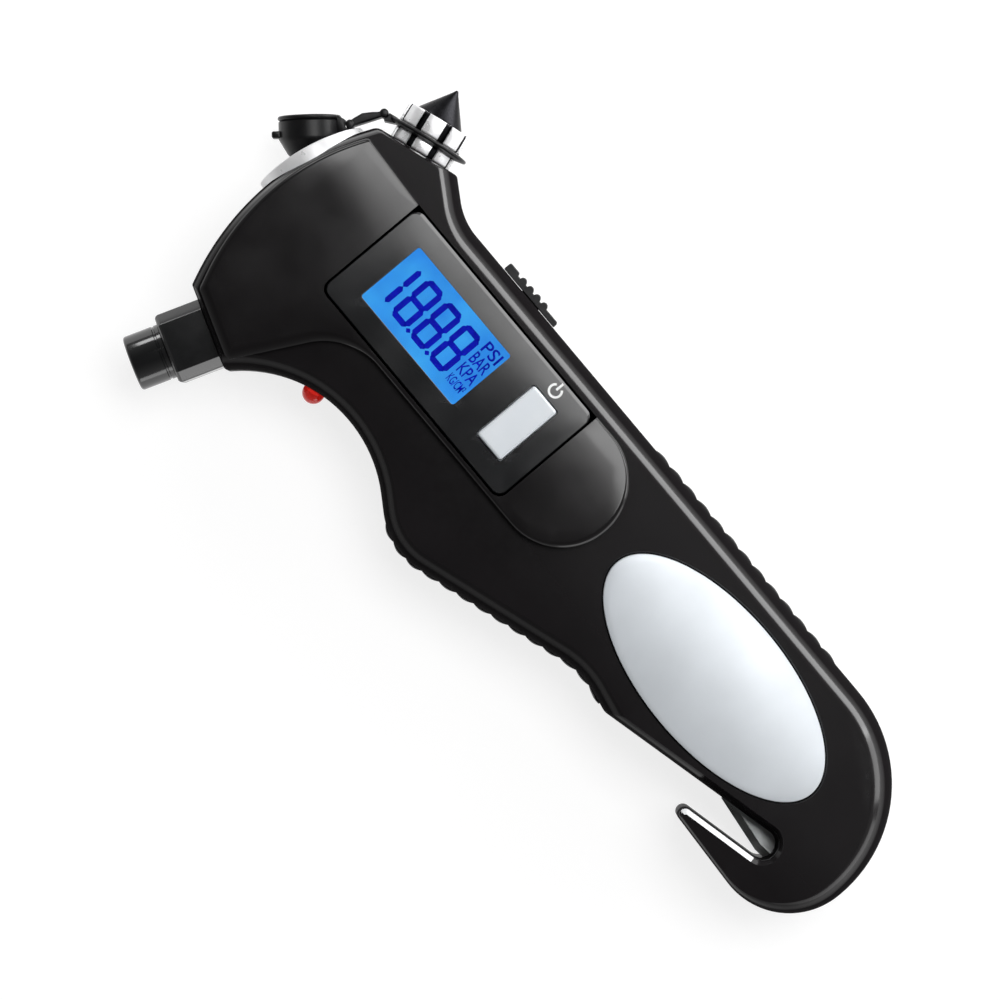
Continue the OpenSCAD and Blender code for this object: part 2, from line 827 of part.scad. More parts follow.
module torch_bezel() {
    lip = 0.8;
    lip_t = 1.5;
    length = 12;
    color("#dfe2e6") difference() {
        intersection() {
            along_torch(lens_y - lip_t) cylinder(r = bezel_r, h = length);
            translate([crown_centre.x, crown_centre.y, 0])
                cylinder(r = head_radius + bezel_rise, h = 2 * split_h, $fn = 180);
        }
        along_torch(lens_y) cylinder(r = lens_r, h = length);
        along_torch(lens_y - lip_t - 1) cylinder(r = lens_r - lip, h = length);
    }
}

module torch_lens() {
    color("#eaf4fb", 0.5) along_torch(lens_y) cylinder(r = lens_r - seat_gap, h = lens_t);
}

module torch_reflector() {
    rim_r = lens_r - 0.9;
    neck_r = 3.2;
    skin = 0.8;
    color("#d9dde2") along_torch(lens_y - reflector_l) rotate_extrude() polygon([
        [neck_r, 0], [neck_r + skin, 0], [rim_r, reflector_l - 1.6], [rim_r, reflector_l],
        [rim_r - skin, reflector_l], [rim_r - skin, reflector_l - 1.6], [neck_r, 0.8]
    ]);
}

module torch_led() {
    lamp_r = 2.5;
    lamp_l = 4;
    base_r = 3.1;
    color("#fdf6d8") along_torch(lens_y - reflector_l) {
        cylinder(r = lamp_r, h = lamp_l);
        translate([0, 0, lamp_l]) intersection() {
            sphere(r = lamp_r);
            cylinder(r = lamp_r + 1, h = lamp_r + 1);
        }
        translate([0, 0, -1]) cylinder(r = base_r, h = 1);
    }
}

module torch_switch_knob() {
    plate_t = slider_t - 0.6;
    stop_l = 2.8;
    bump_r = 0.8;
    bump_y = 4.4;
    bump_pitch = 2.15;
    low_z = split_h - slider_h / 2;
    color("#191a1d") {
        translate([slider_x, slider_y, low_z]) cube([plate_t, slider_l, slider_h]);
        translate([slider_x, slider_y + slider_l - stop_l, low_z])
            cube([slider_t, stop_l, slider_h]);
        for (k = [0:3])
            translate([slider_x + plate_t, slider_y + bump_y + bump_pitch * k, low_z])
                cylinder(r = bump_r, h = slider_h, $fn = 24);
        translate([stem_tip_x, stem_y, split_h - stem_h / 2])
            cube([slider_x - stem_tip_x + 0.1, stem_l, stem_h]);
    }
}

// Body of the electrical switch against the palm side's wall, or with grow the room it needs
module switch_body(grow) {
    body_l = 14;
    body_h = 5.8;
    size = [palm_reach - wall - switch_back_x - seat_gap, body_l, body_h];
    low_y = stem_y + (stem_l + slider_travel - body_l) / 2;
    translate([switch_back_x - grow, low_y - grow, split_h - body_h / 2 - grow])
        cube(size + 2 * grow * [1, 1, 1]);
}

module slide_switch() {
    color("#55585e") difference() {
        switch_body(0);
        translate([stem_tip_x - slide_gap, stem_y - slide_gap, split_h - stem_h / 2 - slide_gap])
            cube([9, stem_l + slider_travel + 2 * slide_gap, stem_h + 2 * slide_gap]);
    }
}

module flasher_led() {
    back = wall + flasher_sink + seat_gap;
    color("#c8201c") aim(flasher_at, flasher_angle) {
        translate([0, 0, -back - flasher_rim_t]) cylinder(r = flasher_rim_r, h = flasher_rim_t);
        translate([0, 0, -back]) cylinder(r = flasher_r, h = back + flasher_rise);
        translate([0, 0, flasher_rise]) intersection() {
            sphere(r = flasher_r);
            cylinder(r = flasher_r + 1, h = flasher_r + 1);
        }
    }
}

// Flutes cut round a metal ring: count slots, each wide and deep as given, from low to high
module fluted(r, low, high, count, slot, deep) {
    difference() {
        translate([0, 0, low]) cylinder(r = r, h = high - low);
        for (k = [0:count - 1]) rotate([0, 0, 360 * (k + 0.5) / count])
            translate([r - deep, -slot / 2, low - 1]) cube([deep + 1, slot, high - low + 2]);
    }
}

module hammer_seat() {
    color("#d5d8dd") aim(hammer_at, hammer_angle) difference() {
        union() {
            fluted(foot_r, 0, foot_h, 8, 1.4, 0.9);
            translate([0, 0, -anchor_l]) cylinder(r = anchor_r, h = anchor_l + 0.1);
            translate([0, 0, -wall - seat_gap - anchor_flange_t])
                cylinder(r = anchor_flange_r, h = anchor_flange_t);
        }
        translate([0, 0, -3]) cylinder(r = stud_seat_r, h = foot_h + 4);
    }
}

module cap_ring() {
    color("#1b1b1d") aim(hammer_at, hammer_angle) translate([0, 0, ring_z])
        tube(ring_r, stud_seat_r, ring_t);
}

module hammer_nut() {
    color("#dfe2e6") aim(hammer_at, hammer_angle) difference() {
        fluted(nut_r, nut_z, point_z, 8, 1.4, 0.9);
        translate([0, 0, nut_z - 1]) cylinder(r = stud_seat_r, h = nut_h + 2);
    }
}

module hammer_point() {
    tip_r = 0.25;
    stud_low = -2.5;
    color("#18181a") aim(hammer_at, hammer_angle) {
        translate([0, 0, point_z]) cylinder(r1 = point_r, r2 = tip_r, h = point_h);
        translate([0, 0, stud_low]) cylinder(r = stud_r, h = point_z - stud_low + 0.1);
    }
}

// Cap hinge beads, placed for the closed cap: one beside the ring, one beside the cap
bead_r = 0.9;
ring_bead = on_hammer(ring_z + ring_t / 2, ring_r + bead_gap + bead_r);
cap_lug_l = 0.65;
cap_bead_h = cap_z + 2;
cap_bead = on_hammer(cap_bead_h, cap_r + cap_lug_l + bead_gap + bead_r);

module turned_about(p, a) {
    translate([p.x, p.y, 0]) rotate([0, 0, a]) translate([-p.x, -p.y, 0]) children();
}

module strap_opened() {
    turned_about(ring_bead, strap_fold) children();
}

module cap_opened() {
    strap_opened() turned_about(cap_bead, cap_tilt) children();
}

module cap_strap() {
    bead_step = 0.15;
    low = split_h - strap_w / 2;
    span = cap_bead - ring_bead;
    reach = norm(span);
    swell = strap_t + 0.15;
    color("#222225") strap_opened() {
        for (p = [ring_bead, cap_bead])
            translate([p.x, p.y, low])
                cylinder(r = bead_r, h = strap_w);
        translate([ring_bead.x, ring_bead.y, low + bead_step])
            rotate([0, 0, atan2(span.y, span.x)])
                linear_extrude(strap_w - 2 * bead_step)
                    polygon([
                        [0, -strap_t / 2], [0.14 * reach, -strap_t / 2], [0.33 * reach, -swell + 0.35],
                        [0.58 * reach, -swell], [0.84 * reach, -swell + 0.4], [reach, -strap_t / 2],
                        [reach, strap_t / 2], [0, strap_t / 2]
                    ]);
    }
}

module hammer_cap() {
    rim_h = 4.6;
    end_r = 4.4;
    floor_t = 0.9;
    lug_h = 1.6;
    lug_low = 1.9;
    lug_high = 2.3;
    lug_root = 0.85;
    tab_l = 1.2;
    tab_t = 1.4;
    tab_root = 0.5;
    tab_z = cap_z + 3;
    color("#222225") cap_opened() aim(hammer_at, hammer_angle) {
        translate([0, 0, cap_z]) rotate_extrude() polygon([
            [cap_r - cap_wall, 0], [cap_r, 0], [cap_r, rim_h], [end_r, cap_h], [0, cap_h],
            [0, cap_h - floor_t], [end_r - cap_wall, cap_h - floor_t], [cap_r - cap_wall, rim_h - 0.2]
        ]);
        translate([-strap_w / 2, cap_r, cap_bead_h]) rotate([90, 0, 90])
            linear_extrude(strap_w)
                polygon([
                    [-lug_root, -lug_low], [cap_lug_l, -lug_h / 2],
                    [cap_lug_l, lug_h / 2], [-lug_root, lug_high]
                ]);
        translate([-strap_w / 3, -cap_r - tab_l, tab_z])
            cube([strap_w * 2 / 3, tab_l + tab_root, tab_t]);
    }
}

// Blade outline in the plane of the split, from its cutting edge to its hidden back
blade_corners = [
    [-7.2, -66, 0.2], [-8.7, -78.4, 0.2], [-8.2, -82.6, 0.5], [1.5, -82.6, 1], [1.5, -67.6, 1]
];
pin_spots = [[-1.2, -71.5], [-1.2, -79.5]];
blade_pin_r = 1.2;

module blade_pocket() {
    play = seat_gap / 2;
    grown = inset(blade_corners, [for (i = blade_corners) -seat_gap]);
    translate([0, 0, split_h - blade_t / 2 - play])
        linear_extrude(blade_t + 2 * play)
            polygon(outline(grown));
    for (p = pin_spots)
        translate([p.x, p.y, split_h - 4])
            cylinder(r = blade_pin_r + seat_gap, h = 8, $fn = 24);
}

module cutter_blade() {
    color("#b8bdc4") difference() {
        translate([0, 0, split_h - blade_t / 2]) linear_extrude(blade_t) polygon(outline(blade_corners));
        for (p = pin_spots)
            translate([p.x, p.y, 0])
                cylinder(r = blade_pin_r + seat_gap / 2, h = 2 * split_h);
    }
}

module blade_pins() {
    pin_half = 3.8;
    color("#8f949b")
    for (p = pin_spots)
        translate([p.x, p.y, split_h - pin_half])
            cylinder(r = blade_pin_r, h = 2 * pin_half);
}

cell_xs = [bay_x - cell_pitch / 2, bay_x + cell_pitch / 2];

// Two cells lie side by side, tips at opposite ends
module battery_cells() {
    tip_r = 1.9;
    tip_l = 1;
    for (k = [0, 1])
        color("#3d6fa8")
            translate([cell_xs[k], cell_floor_y + k * cell_l, cell_h])
                rotate([180 * k - 90, 0, 0]) {
                    cylinder(r = cell_r, h = cell_l);
                    translate([0, 0, cell_l]) cylinder(r = tip_r, h = tip_l);
                }
}

// Conical coil as one swept tube of few sides
module coil(r_low, r_high, h, turns, wire_r) {
    sides = 6;
    per_turn = 12;
    last = turns * per_turn;
    rings = [
        for (k = [0:last])
            let (a = 360 * k / per_turn, f = k / last, r = r_low + (r_high - r_low) * f)
            [for (j = [0:sides - 1])
                let (b = 360 * j / sides, q = r + wire_r * cos(b))
                [q * cos(a), q * sin(a), wire_r + (h - 2 * wire_r) * f + wire_r * sin(b)]]
    ];
    points = [for (w = rings) each w];
    skin = [
        for (k = [0:last - 1]) for (j = [0:sides - 1])
            let (m = (j + 1) % sides, a = k * sides, b = a + sides)
            each [[a + j, b + m, b + j], [a + j, a + m, b + m]]
    ];
    start_face = [for (j = [sides - 1:-1:0]) j];
    end_face = [for (j = [0:sides - 1]) last * sides + j];
    polyhedron(points, concat(skin, [start_face, end_face]));
}

// A spring behind each flat end, bearing on its contact plate
module battery_springs() {
    wire_r = 0.3;
    coil_r = 3.6;
    coil_tip_r = 1.9;
    turns = 2;
    color("#c3c7cd")
    for (k = [0, 1])
        translate([cell_xs[k], k == 0 ? cell_floor_y - spring_l : cell_top_y, cell_h]) rotate([-90, 0, 0])
            coil(coil_r, coil_tip_r, k == 0 ? spring_l : tip_room, turns, wire_r);
}

module battery_contacts() {
    plate = 8;
    color("#c9b889")
    for (x = cell_xs)
        for (y = [bay_end_y, bay_top_y - seat_gap - contact_t])
            translate([x - plate / 2, y, cell_h - plate / 2]) cube([plate, contact_t, plate]);
}

module battery_door() {
    color("#161719") difference() {
        union() {
            rounded_block([bay_x - door_w / 2, door_y, 0], [door_w, door_l, door_t], 3);
            door_tab(0, seat_gap, door_t - 2 * seat_gap);
        }
        translate([door_screw_at.x, door_screw_at.y, -1]) cylinder(r = screw_r + 0.2, h = 5);
        translate([door_screw_at.x, door_screw_at.y, -1]) cylinder(r = head_r + 0.2, h = 1 + door_sink);
    }
}

module door_screw() {
    color("#a4a8ae") translate([door_screw_at.x, door_screw_at.y, 0.1]) {
        cylinder(r = head_r, h = door_sink - 0.1);
        cylinder(r = screw_r - seat_gap / 2, h = 5);
    }
}

module case_screws() {
    length = 15;
    color("#a4a8ae")
    for (p = boss_spots) translate([p.x, p.y, head_seat]) {
        cylinder(r = head_r, h = 1.4);
        cylinder(r = screw_r - 0.05, h = length);
    }
}

front_shell();
rear_shell();
finger_grip();
palm_grip();
handle_inlay();
display_panel();
lcd_window();
lcd_glass();
lcd_backlight();
zebra_strips();
main_board();
power_button();
tact_switch();
chuck_collar();
chuck_tip();
chuck_seal();
depressor_pin();
air_tube();
pressure_sensor();
torch_bezel();
torch_lens();
torch_reflector();
torch_led();
torch_switch_knob();
slide_switch();
flasher_led();
hammer_seat();
cap_ring();
hammer_nut();
hammer_point();
cap_strap();
hammer_cap();
cutter_blade();
blade_pins();
battery_cells();
battery_springs();
battery_contacts();
battery_door();
door_screw();
case_screws();
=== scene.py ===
"""Looks of a hand-held digital tire gauge with torch, flasher, window hammer and belt cutter.

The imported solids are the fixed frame. Each sub-assembly below is a class that holds its sizes in
millimetres, works its surfaces out with numpy and dresses them with procedural finishes.
"""

import json
import logging
import math
from dataclasses import dataclass, field
from enum import Enum
from typing import Callable, ClassVar, Sequence

import bmesh
import bpy
import numpy as np
from mathutils import Matrix, geometry


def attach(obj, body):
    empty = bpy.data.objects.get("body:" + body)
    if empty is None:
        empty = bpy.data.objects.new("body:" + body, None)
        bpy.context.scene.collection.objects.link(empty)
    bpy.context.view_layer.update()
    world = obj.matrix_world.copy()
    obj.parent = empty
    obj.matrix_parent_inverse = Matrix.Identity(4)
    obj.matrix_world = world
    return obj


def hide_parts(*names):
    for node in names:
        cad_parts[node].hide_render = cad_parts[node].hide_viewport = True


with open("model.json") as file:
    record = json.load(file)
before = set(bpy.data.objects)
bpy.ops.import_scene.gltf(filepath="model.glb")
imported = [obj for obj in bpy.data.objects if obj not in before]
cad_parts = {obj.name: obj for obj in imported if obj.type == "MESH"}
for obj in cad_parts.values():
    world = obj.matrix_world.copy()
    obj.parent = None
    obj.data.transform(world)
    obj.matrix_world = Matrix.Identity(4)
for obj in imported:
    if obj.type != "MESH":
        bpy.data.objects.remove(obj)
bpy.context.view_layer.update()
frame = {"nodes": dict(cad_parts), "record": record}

LOG = logging.getLogger("tire_gauge")
MM = 0.001
SEAM_Z = 13.0
FACE_Z = 25.0
CREASE = math.radians(32)
SOFT_CREASE = math.radians(18)
MERGE_DISTANCE = 2e-7
LEAST_EDGE = 1e-7
CUT_TOLERANCE = 1e-5
SHARP_FILLET = 0.05
Pair = tuple[float, float]
Triple = tuple[float, float, float]
Pairs = tuple[Pair, ...]
Colour = Triple
Piece = bpy.types.Object
Socket = bpy.types.NodeSocket


class Body(Enum):
    """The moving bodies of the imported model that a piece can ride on."""

    CASING = "casing"
    BUTTON = "button"
    SLIDER = "slider"
    STRAP = "strap"
    CAP = "cap"


class Grain(Enum):
    """Surface grains: size of the lumps and depth of the bump in millimetres, and its strength."""

    SPARK = (0.32, 0.02, 0.22)
    MATT = (0.18, 0.03, 0.35)
    SATIN = (0.3, 0.01, 0.08)
    GLOSSY = (6.0, 0.02, 0.08)
    SCUFFED = (0.25, 0.01, 0.25)
    POLISHED = (2.5, 0.01, 0.04)


@dataclass(frozen=True)
class Lacquer:
    """Gloss coat of a moulding, in bands of height and rubbed off towards one side.

    The share of coat is that of the side up to the first height of the bands, none from the second
    to the third, and whole from the fourth on. It fades to the rubbed share between the two X places.
    """

    bands: tuple[float, float, float, float]
    side: float
    top: float
    rubbed_x: float
    whole_x: float
    rubbed: float
    roughness: float = 0.15


class ShaderTree:
    """Node tree of one material, with short calls for the nodes that the finishes share."""

    noise_span: ClassVar[Pair] = (0.3, 0.7)
    edge_span: ClassVar[Pair] = (0.52, 0.62)
    rub_mm: ClassVar[float] = 1.6
    rub_least: ClassVar[float] = 0.2
    mix_first: ClassVar[int] = 6
    mix_second: ClassVar[int] = 7
    mix_result: ClassVar[int] = 2

    def __init__(self, name: str) -> None:
        """Start an empty tree with one principled shader.

        Args:
            name: Name of the material.
        """
        self.material = bpy.data.materials.new(name)
        self.material.use_nodes = True
        self.nodes = self.material.node_tree.nodes
        self.links = self.material.node_tree.links
        self.nodes.clear()
        self.shader = self.nodes.new("ShaderNodeBsdfPrincipled")
        out = self.nodes.new("ShaderNodeOutputMaterial")
        self.links.new(self.shader.outputs["BSDF"], out.inputs["Surface"])
        self.place = self.nodes.new("ShaderNodeTexCoord").outputs["Object"]

    def set(self, **values: float | Colour) -> None:
        """Set sockets of the shader, with underscores for the spaces of their names.

        Args:
            values: Value of each socket; a colour is a tuple.
        """
        for key, value in values.items():
            socket = self.shader.inputs[key.replace("_", " ")]
            socket.default_value = (*value, 1.0) if isinstance(value, tuple) else value

    def noise(self, size_mm: float, detail: float = 3.0) -> Socket:
        """Add fractal noise on object coordinates.

        Args:
            size_mm: Size of the largest lumps.
            detail: Octaves of finer lumps.

        Returns:
            The noise value.
        """
        node = self.nodes.new("ShaderNodeTexNoise")
        node.inputs["Scale"].default_value = 1.0 / (size_mm * MM)
        node.inputs["Detail"].default_value = detail
        self.links.new(self.place, node.inputs["Vector"])
        return node.outputs["Fac"]

    def product(self, a: Socket, b: Socket) -> Socket:
        """Return the product of two values.

        Args:
            a: First value.
            b: Second value.

        Returns:
            Their product.
        """
        node = self.nodes.new("ShaderNodeMath")
        node.operation = "MULTIPLY"
        self.links.new(a, node.inputs[0])
        self.links.new(b, node.inputs[1])
        return node.outputs["Value"]

    def along(self, axis: str, start_mm: float, end_mm: float, least: float = 0.0) -> Socket:
        """Return a share that grows along an axis of the object.

        Args:
            axis: Letter of the axis.
            start_mm: Place where the share is least.
            end_mm: Place from which on it is one.
            least: The least share.

        Returns:
            The share.
        """
        split = self.nodes.new("ShaderNodeSeparateXYZ")
        self.links.new(self.place, split.inputs["Vector"])
        node = self.nodes.new("ShaderNodeMapRange")
        node.inputs["From Min"].default_value = start_mm * MM
        node.inputs["From Max"].default_value = end_mm * MM
        node.inputs["To Min"].default_value = least
        self.links.new(split.outputs[axis], node.inputs["Value"])
        return node.outputs["Result"]

    def ramp(self, value: Socket, stops: Sequence[tuple[float, Colour]], sharp: bool = False) -> Socket:
        """Add a colour ramp.

        Args:
            value: The value that is looked up.
            stops: Position and colour of each stop.
            sharp: Whether the colour jumps at the stops.

        Returns:
            The colour.
        """
        node = self.nodes.new("ShaderNodeValToRGB")
        band = node.color_ramp
        band.interpolation = "CONSTANT" if sharp else "LINEAR"
        while len(band.elements) < len(stops):
            band.elements.new(0.5)
        for element, (position, colour) in zip(band.elements, stops):
            element.position = position
            element.color = (*colour, 1.0)
        self.links.new(value, node.inputs["Fac"])
        return node.outputs["Color"]

    def span(self, value: Socket, low: float, high: float) -> Socket:
        """Return a noise value carried onto the span from low to high.

        Args:
            value: Noise value.
            low: Result for the least noise.
            high: Result for the most noise.

        Returns:
            The carried value.
        """
        node = self.nodes.new("ShaderNodeMapRange")
        node.inputs["From Min"].default_value, node.inputs["From Max"].default_value = self.noise_span
        node.inputs["To Min"].default_value = low
        node.inputs["To Max"].default_value = high
        self.links.new(value, node.inputs["Value"])
        return node.outputs["Result"]

    def mottled(self, value: Socket, low: Colour, high: Colour) -> Socket:
        """Return a colour that runs from one tint to another with a noise value."""
        return self.ramp(value, list(zip(self.noise_span, (low, high))))

    def feed(self, name: str, socket: Socket) -> None:
        """Link a socket to an input of the shader."""
        self.links.new(socket, self.shader.inputs[name])

    def bump(self, height: Socket, depth_mm: float, strength: float) -> None:
        """Raise the surface by a height, on top of any bump that is there.

        Args:
            height: Height, from 0 to 1.
            depth_mm: Depth that a height of 1 stands for.
            strength: Strength of the bump.
        """
        node = self.nodes.new("ShaderNodeBump")
        node.inputs["Strength"].default_value = strength
        node.inputs["Distance"].default_value = depth_mm * MM
        self.links.new(height, node.inputs["Height"])
        normal = self.shader.inputs["Normal"]
        if normal.links:
            self.links.new(normal.links[0].from_socket, node.inputs["Normal"])
        self.feed("Normal", node.outputs["Normal"])

    def lacquered(self, lacquer: Lacquer) -> Socket:
        """Return the share of gloss coat: none on the shoulder and less where fingers rub it.

        Args:
            lacquer: Where the coat lies.

        Returns:
            The share.
        """
        bands = zip(lacquer.bands, (lacquer.side, 0.0, 0.0, 1.0))
        stops = [(z / lacquer.top, (share, share, share)) for z, share in bands]
        coat = self.ramp(self.along("Z", 0.0, lacquer.top), stops)
        return self.product(coat, self.along("X", lacquer.rubbed_x, lacquer.whole_x, lacquer.rubbed))

    def rubbed_edges(self, base: Socket, worn: Colour, share: float) -> Socket:
        """Lighten convex edges, broken up by noise, as handling does.

        Args:
            base: Colour of the untouched surface.
            worn: Colour of the bare, rubbed edge.
            share: How much of the worn colour shows at most.

        Returns:
            The mixed colour.
        """
        edge = self.nodes.new("ShaderNodeNewGeometry").outputs["Pointiness"]
        shares = ((0.0, 0.0, 0.0), (share, share, share))
        mask = self.ramp(edge, list(zip(self.edge_span, shares)))
        broken = self.product(mask, self.span(self.noise(self.rub_mm), self.rub_least, 1.0))
        mix = self.nodes.new("ShaderNodeMix")
        mix.data_type = "RGBA"
        self.links.new(broken, mix.inputs["Factor"])
        self.links.new(base, mix.inputs[self.mix_first])
        mix.inputs[self.mix_second].default_value = (*worn, 1.0)
        return mix.outputs[self.mix_result]


def shade(colour: Colour, factor: float) -> Colour:
    """Return a colour made lighter or darker by a factor."""
    return tuple(min(1.0, c * factor) for c in colour)


class Finish:
    """Base of the finishes, each of which fills the tree of a material in its own way."""

    def build(self, name: str) -> bpy.types.Material:
        """Make the material under the given name.

        Args:
            name: Name of the material.

        Returns:
            The material.
        """
        tree = ShaderTree(name)
        self.dress(tree)
        return tree.material

    def dress(self, tree: ShaderTree) -> None:
        """Fill the tree of a new material."""
        raise NotImplementedError


@dataclass(frozen=True)
class Moulded(Finish):
    """Moulded plastic or rubber: mottled colour, grain in the skin and rubbed edges."""

    colour: Colour
    roughness: float
    grain: Grain = Grain.SPARK
    specular: float = 0.5
    worn: Colour = (0.10, 0.10, 0.105)
    wear: float = 0.35
    metallic: float = 0.0
    lacquer: Lacquer | None = None
    mottle: float = 0.1
    mottle_mm: ClassVar[float] = 9.0
    smudge_mm: ClassVar[float] = 14.0
    smudge: ClassVar[Pair] = (-0.04, 0.05)

    def dress(self, tree: ShaderTree) -> None:
        """Fill the tree of a new material.

        Args:
            tree: The tree.
        """
        tree.set(Metallic=self.metallic, Specular_IOR_Level=self.specular)
        tints = shade(self.colour, 1 - self.mottle), shade(self.colour, 1 + self.mottle)
        base = tree.mottled(tree.noise(self.mottle_mm, 4.0), *tints)
        tree.feed("Base Color", tree.rubbed_edges(base, self.worn, self.wear))
        size, depth, strength = self.grain.value
        tree.bump(tree.noise(size, 2.0), depth, strength)
        low, high = (self.roughness + change for change in self.smudge)
        tree.feed("Roughness", tree.span(tree.noise(self.smudge_mm, 5.0), low, high))
        if self.lacquer:
            tree.set(Coat_Roughness=self.lacquer.roughness)
            tree.feed("Coat Weight", tree.lacquered(self.lacquer))


@dataclass(frozen=True)
class Metal(Finish):
    """Bare or plated metal: faint stains, scuffs or polish and uneven gloss."""

    colour: Colour
    roughness: float
    grain: Grain = Grain.POLISHED
    dull: float = 0.85
    metallic: float = 1.0
    stain_mm: ClassVar[float] = 4.0
    stain_span: ClassVar[Pair] = (0.35, 0.62)
    gloss: ClassVar[Pair] = (0.75, 1.3)

    def dress(self, tree: ShaderTree) -> None:
        """Fill the tree of a new material.

        Args:
            tree: The tree.
        """
        tree.set(Metallic=self.metallic)
        tints = shade(self.colour, self.dull), self.colour
        tree.feed("Base Color", tree.ramp(tree.noise(self.stain_mm, 4.0), list(zip(self.stain_span, tints))))
        size, depth, strength = self.grain.value
        marks = tree.noise(size)
        tree.bump(marks, depth, strength)
        low, high = (self.roughness * factor for factor in self.gloss)
        tree.feed("Roughness", tree.span(marks, low, high))


@dataclass(frozen=True)
class Clear(Finish):
    """Clear or tinted moulding with faint flow lines and fine handling marks."""

    colour: Colour
    roughness: float = 0.03
    ior: float = 1.49
    transmission: float = 1.0
    glow: float = 0.0
    flow: ClassVar[Triple] = (3.0, 0.004, 0.05)
    flow_tint: ClassVar[float] = 0.93
    mark_mm: ClassVar[float] = 0.6
    mark_roughness: ClassVar[float] = 0.03

    def dress(self, tree: ShaderTree) -> None:
        """Fill the tree of a new material.

        Args:
            tree: The tree.
        """
        tree.set(IOR=self.ior, Transmission_Weight=self.transmission)
        tree.set(Emission_Color=self.colour, Emission_Strength=self.glow)
        size, depth, strength = self.flow
        lines = tree.noise(size, 2.0)
        tree.feed("Base Color", tree.mottled(lines, shade(self.colour, self.flow_tint), self.colour))
        tree.bump(lines, depth, strength)
        marked = self.roughness + self.mark_roughness
        tree.feed("Roughness", tree.span(tree.noise(self.mark_mm, 4.0), self.roughness, marked))


@dataclass(frozen=True)
class Glow(Finish):
    """Lit surface: its light changes in soft patches between two colours."""

    colour: Colour
    edge_colour: Colour
    strength: float
    patch_mm: float = 9.0
    patch_span: ClassVar[Pair] = (0.32, 0.66)
    roughness: ClassVar[float] = 0.35
    specular: ClassVar[float] = 0.05

    def dress(self, tree: ShaderTree) -> None:
        """Fill the tree of a new material.

        Args:
            tree: The tree.
        """
        tree.set(Roughness=self.roughness, Specular_IOR_Level=self.specular)
        tree.set(Emission_Strength=self.strength)
        tints = self.edge_colour, self.colour
        light = tree.ramp(tree.noise(self.patch_mm, 2.0), list(zip(self.patch_span, tints)))
        tree.feed("Base Color", light)
        tree.feed("Emission Color", light)


@dataclass(frozen=True)
class Laminate(Finish):
    """Circuit board: green mask that shows the traces below it, with the bumps of a glass weave."""

    mask: Colour = (0.012, 0.11, 0.045)
    trace: Colour = (0.03, 0.19, 0.07)
    pale: float = 1.2
    patches_per_metre: float = 260.0
    trace_width: float = 0.09
    weave: Triple = (0.5, 0.01, 0.2)
    gloss_mm: float = 5.0
    roughness: Pair = (0.32, 0.45)

    def dress(self, tree: ShaderTree) -> None:
        """Fill the tree of a new material.

        Args:
            tree: The tree.
        """
        bricks = tree.nodes.new("ShaderNodeTexBrick")
        bricks.inputs["Scale"].default_value = self.patches_per_metre
        bricks.inputs["Mortar Size"].default_value = self.trace_width
        bricks.inputs["Color1"].default_value = (*self.mask, 1.0)
        bricks.inputs["Color2"].default_value = (*shade(self.mask, self.pale), 1.0)
        bricks.inputs["Mortar"].default_value = (*self.trace, 1.0)
        tree.links.new(tree.place, bricks.inputs["Vector"])
        tree.feed("Base Color", bricks.outputs["Color"])
        size, depth, strength = self.weave
        tree.bump(tree.noise(size, 2.0), depth, strength)
        tree.feed("Roughness", tree.span(tree.noise(self.gloss_mm), *self.roughness))


@dataclass(frozen=True)
class Sleeve(Finish):
    """Printed cell sleeve: a coloured band between two bare ends, told apart by place along Y."""

    band: Colour = (0.05, 0.16, 0.36)
    ends: Colour = (0.55, 0.56, 0.58)
    dark: float = 0.35
    span_mm: Pair = (-69.0, -9.0)
    edges: tuple[float, ...] = (0.0, 0.2, 0.34, 0.7, 0.8)
    wrinkles: Triple = (3.0, 0.03, 0.15)
    gloss_mm: float = 8.0
    roughness: Pair = (0.22, 0.34)

    def dress(self, tree: ShaderTree) -> None:
        """Fill the tree of a new material.

        Args:
            tree: The tree.
        """
        dark = shade(self.band, self.dark)
        stops = list(zip(self.edges, (self.ends, dark, self.band, dark, self.ends)))
        tree.feed("Base Color", tree.ramp(tree.along("Y", *self.span_mm), stops, sharp=True))
        size, depth, strength = self.wrinkles
        tree.bump(tree.noise(size), depth, strength)
        tree.feed("Roughness", tree.span(tree.noise(self.gloss_mm), *self.roughness))


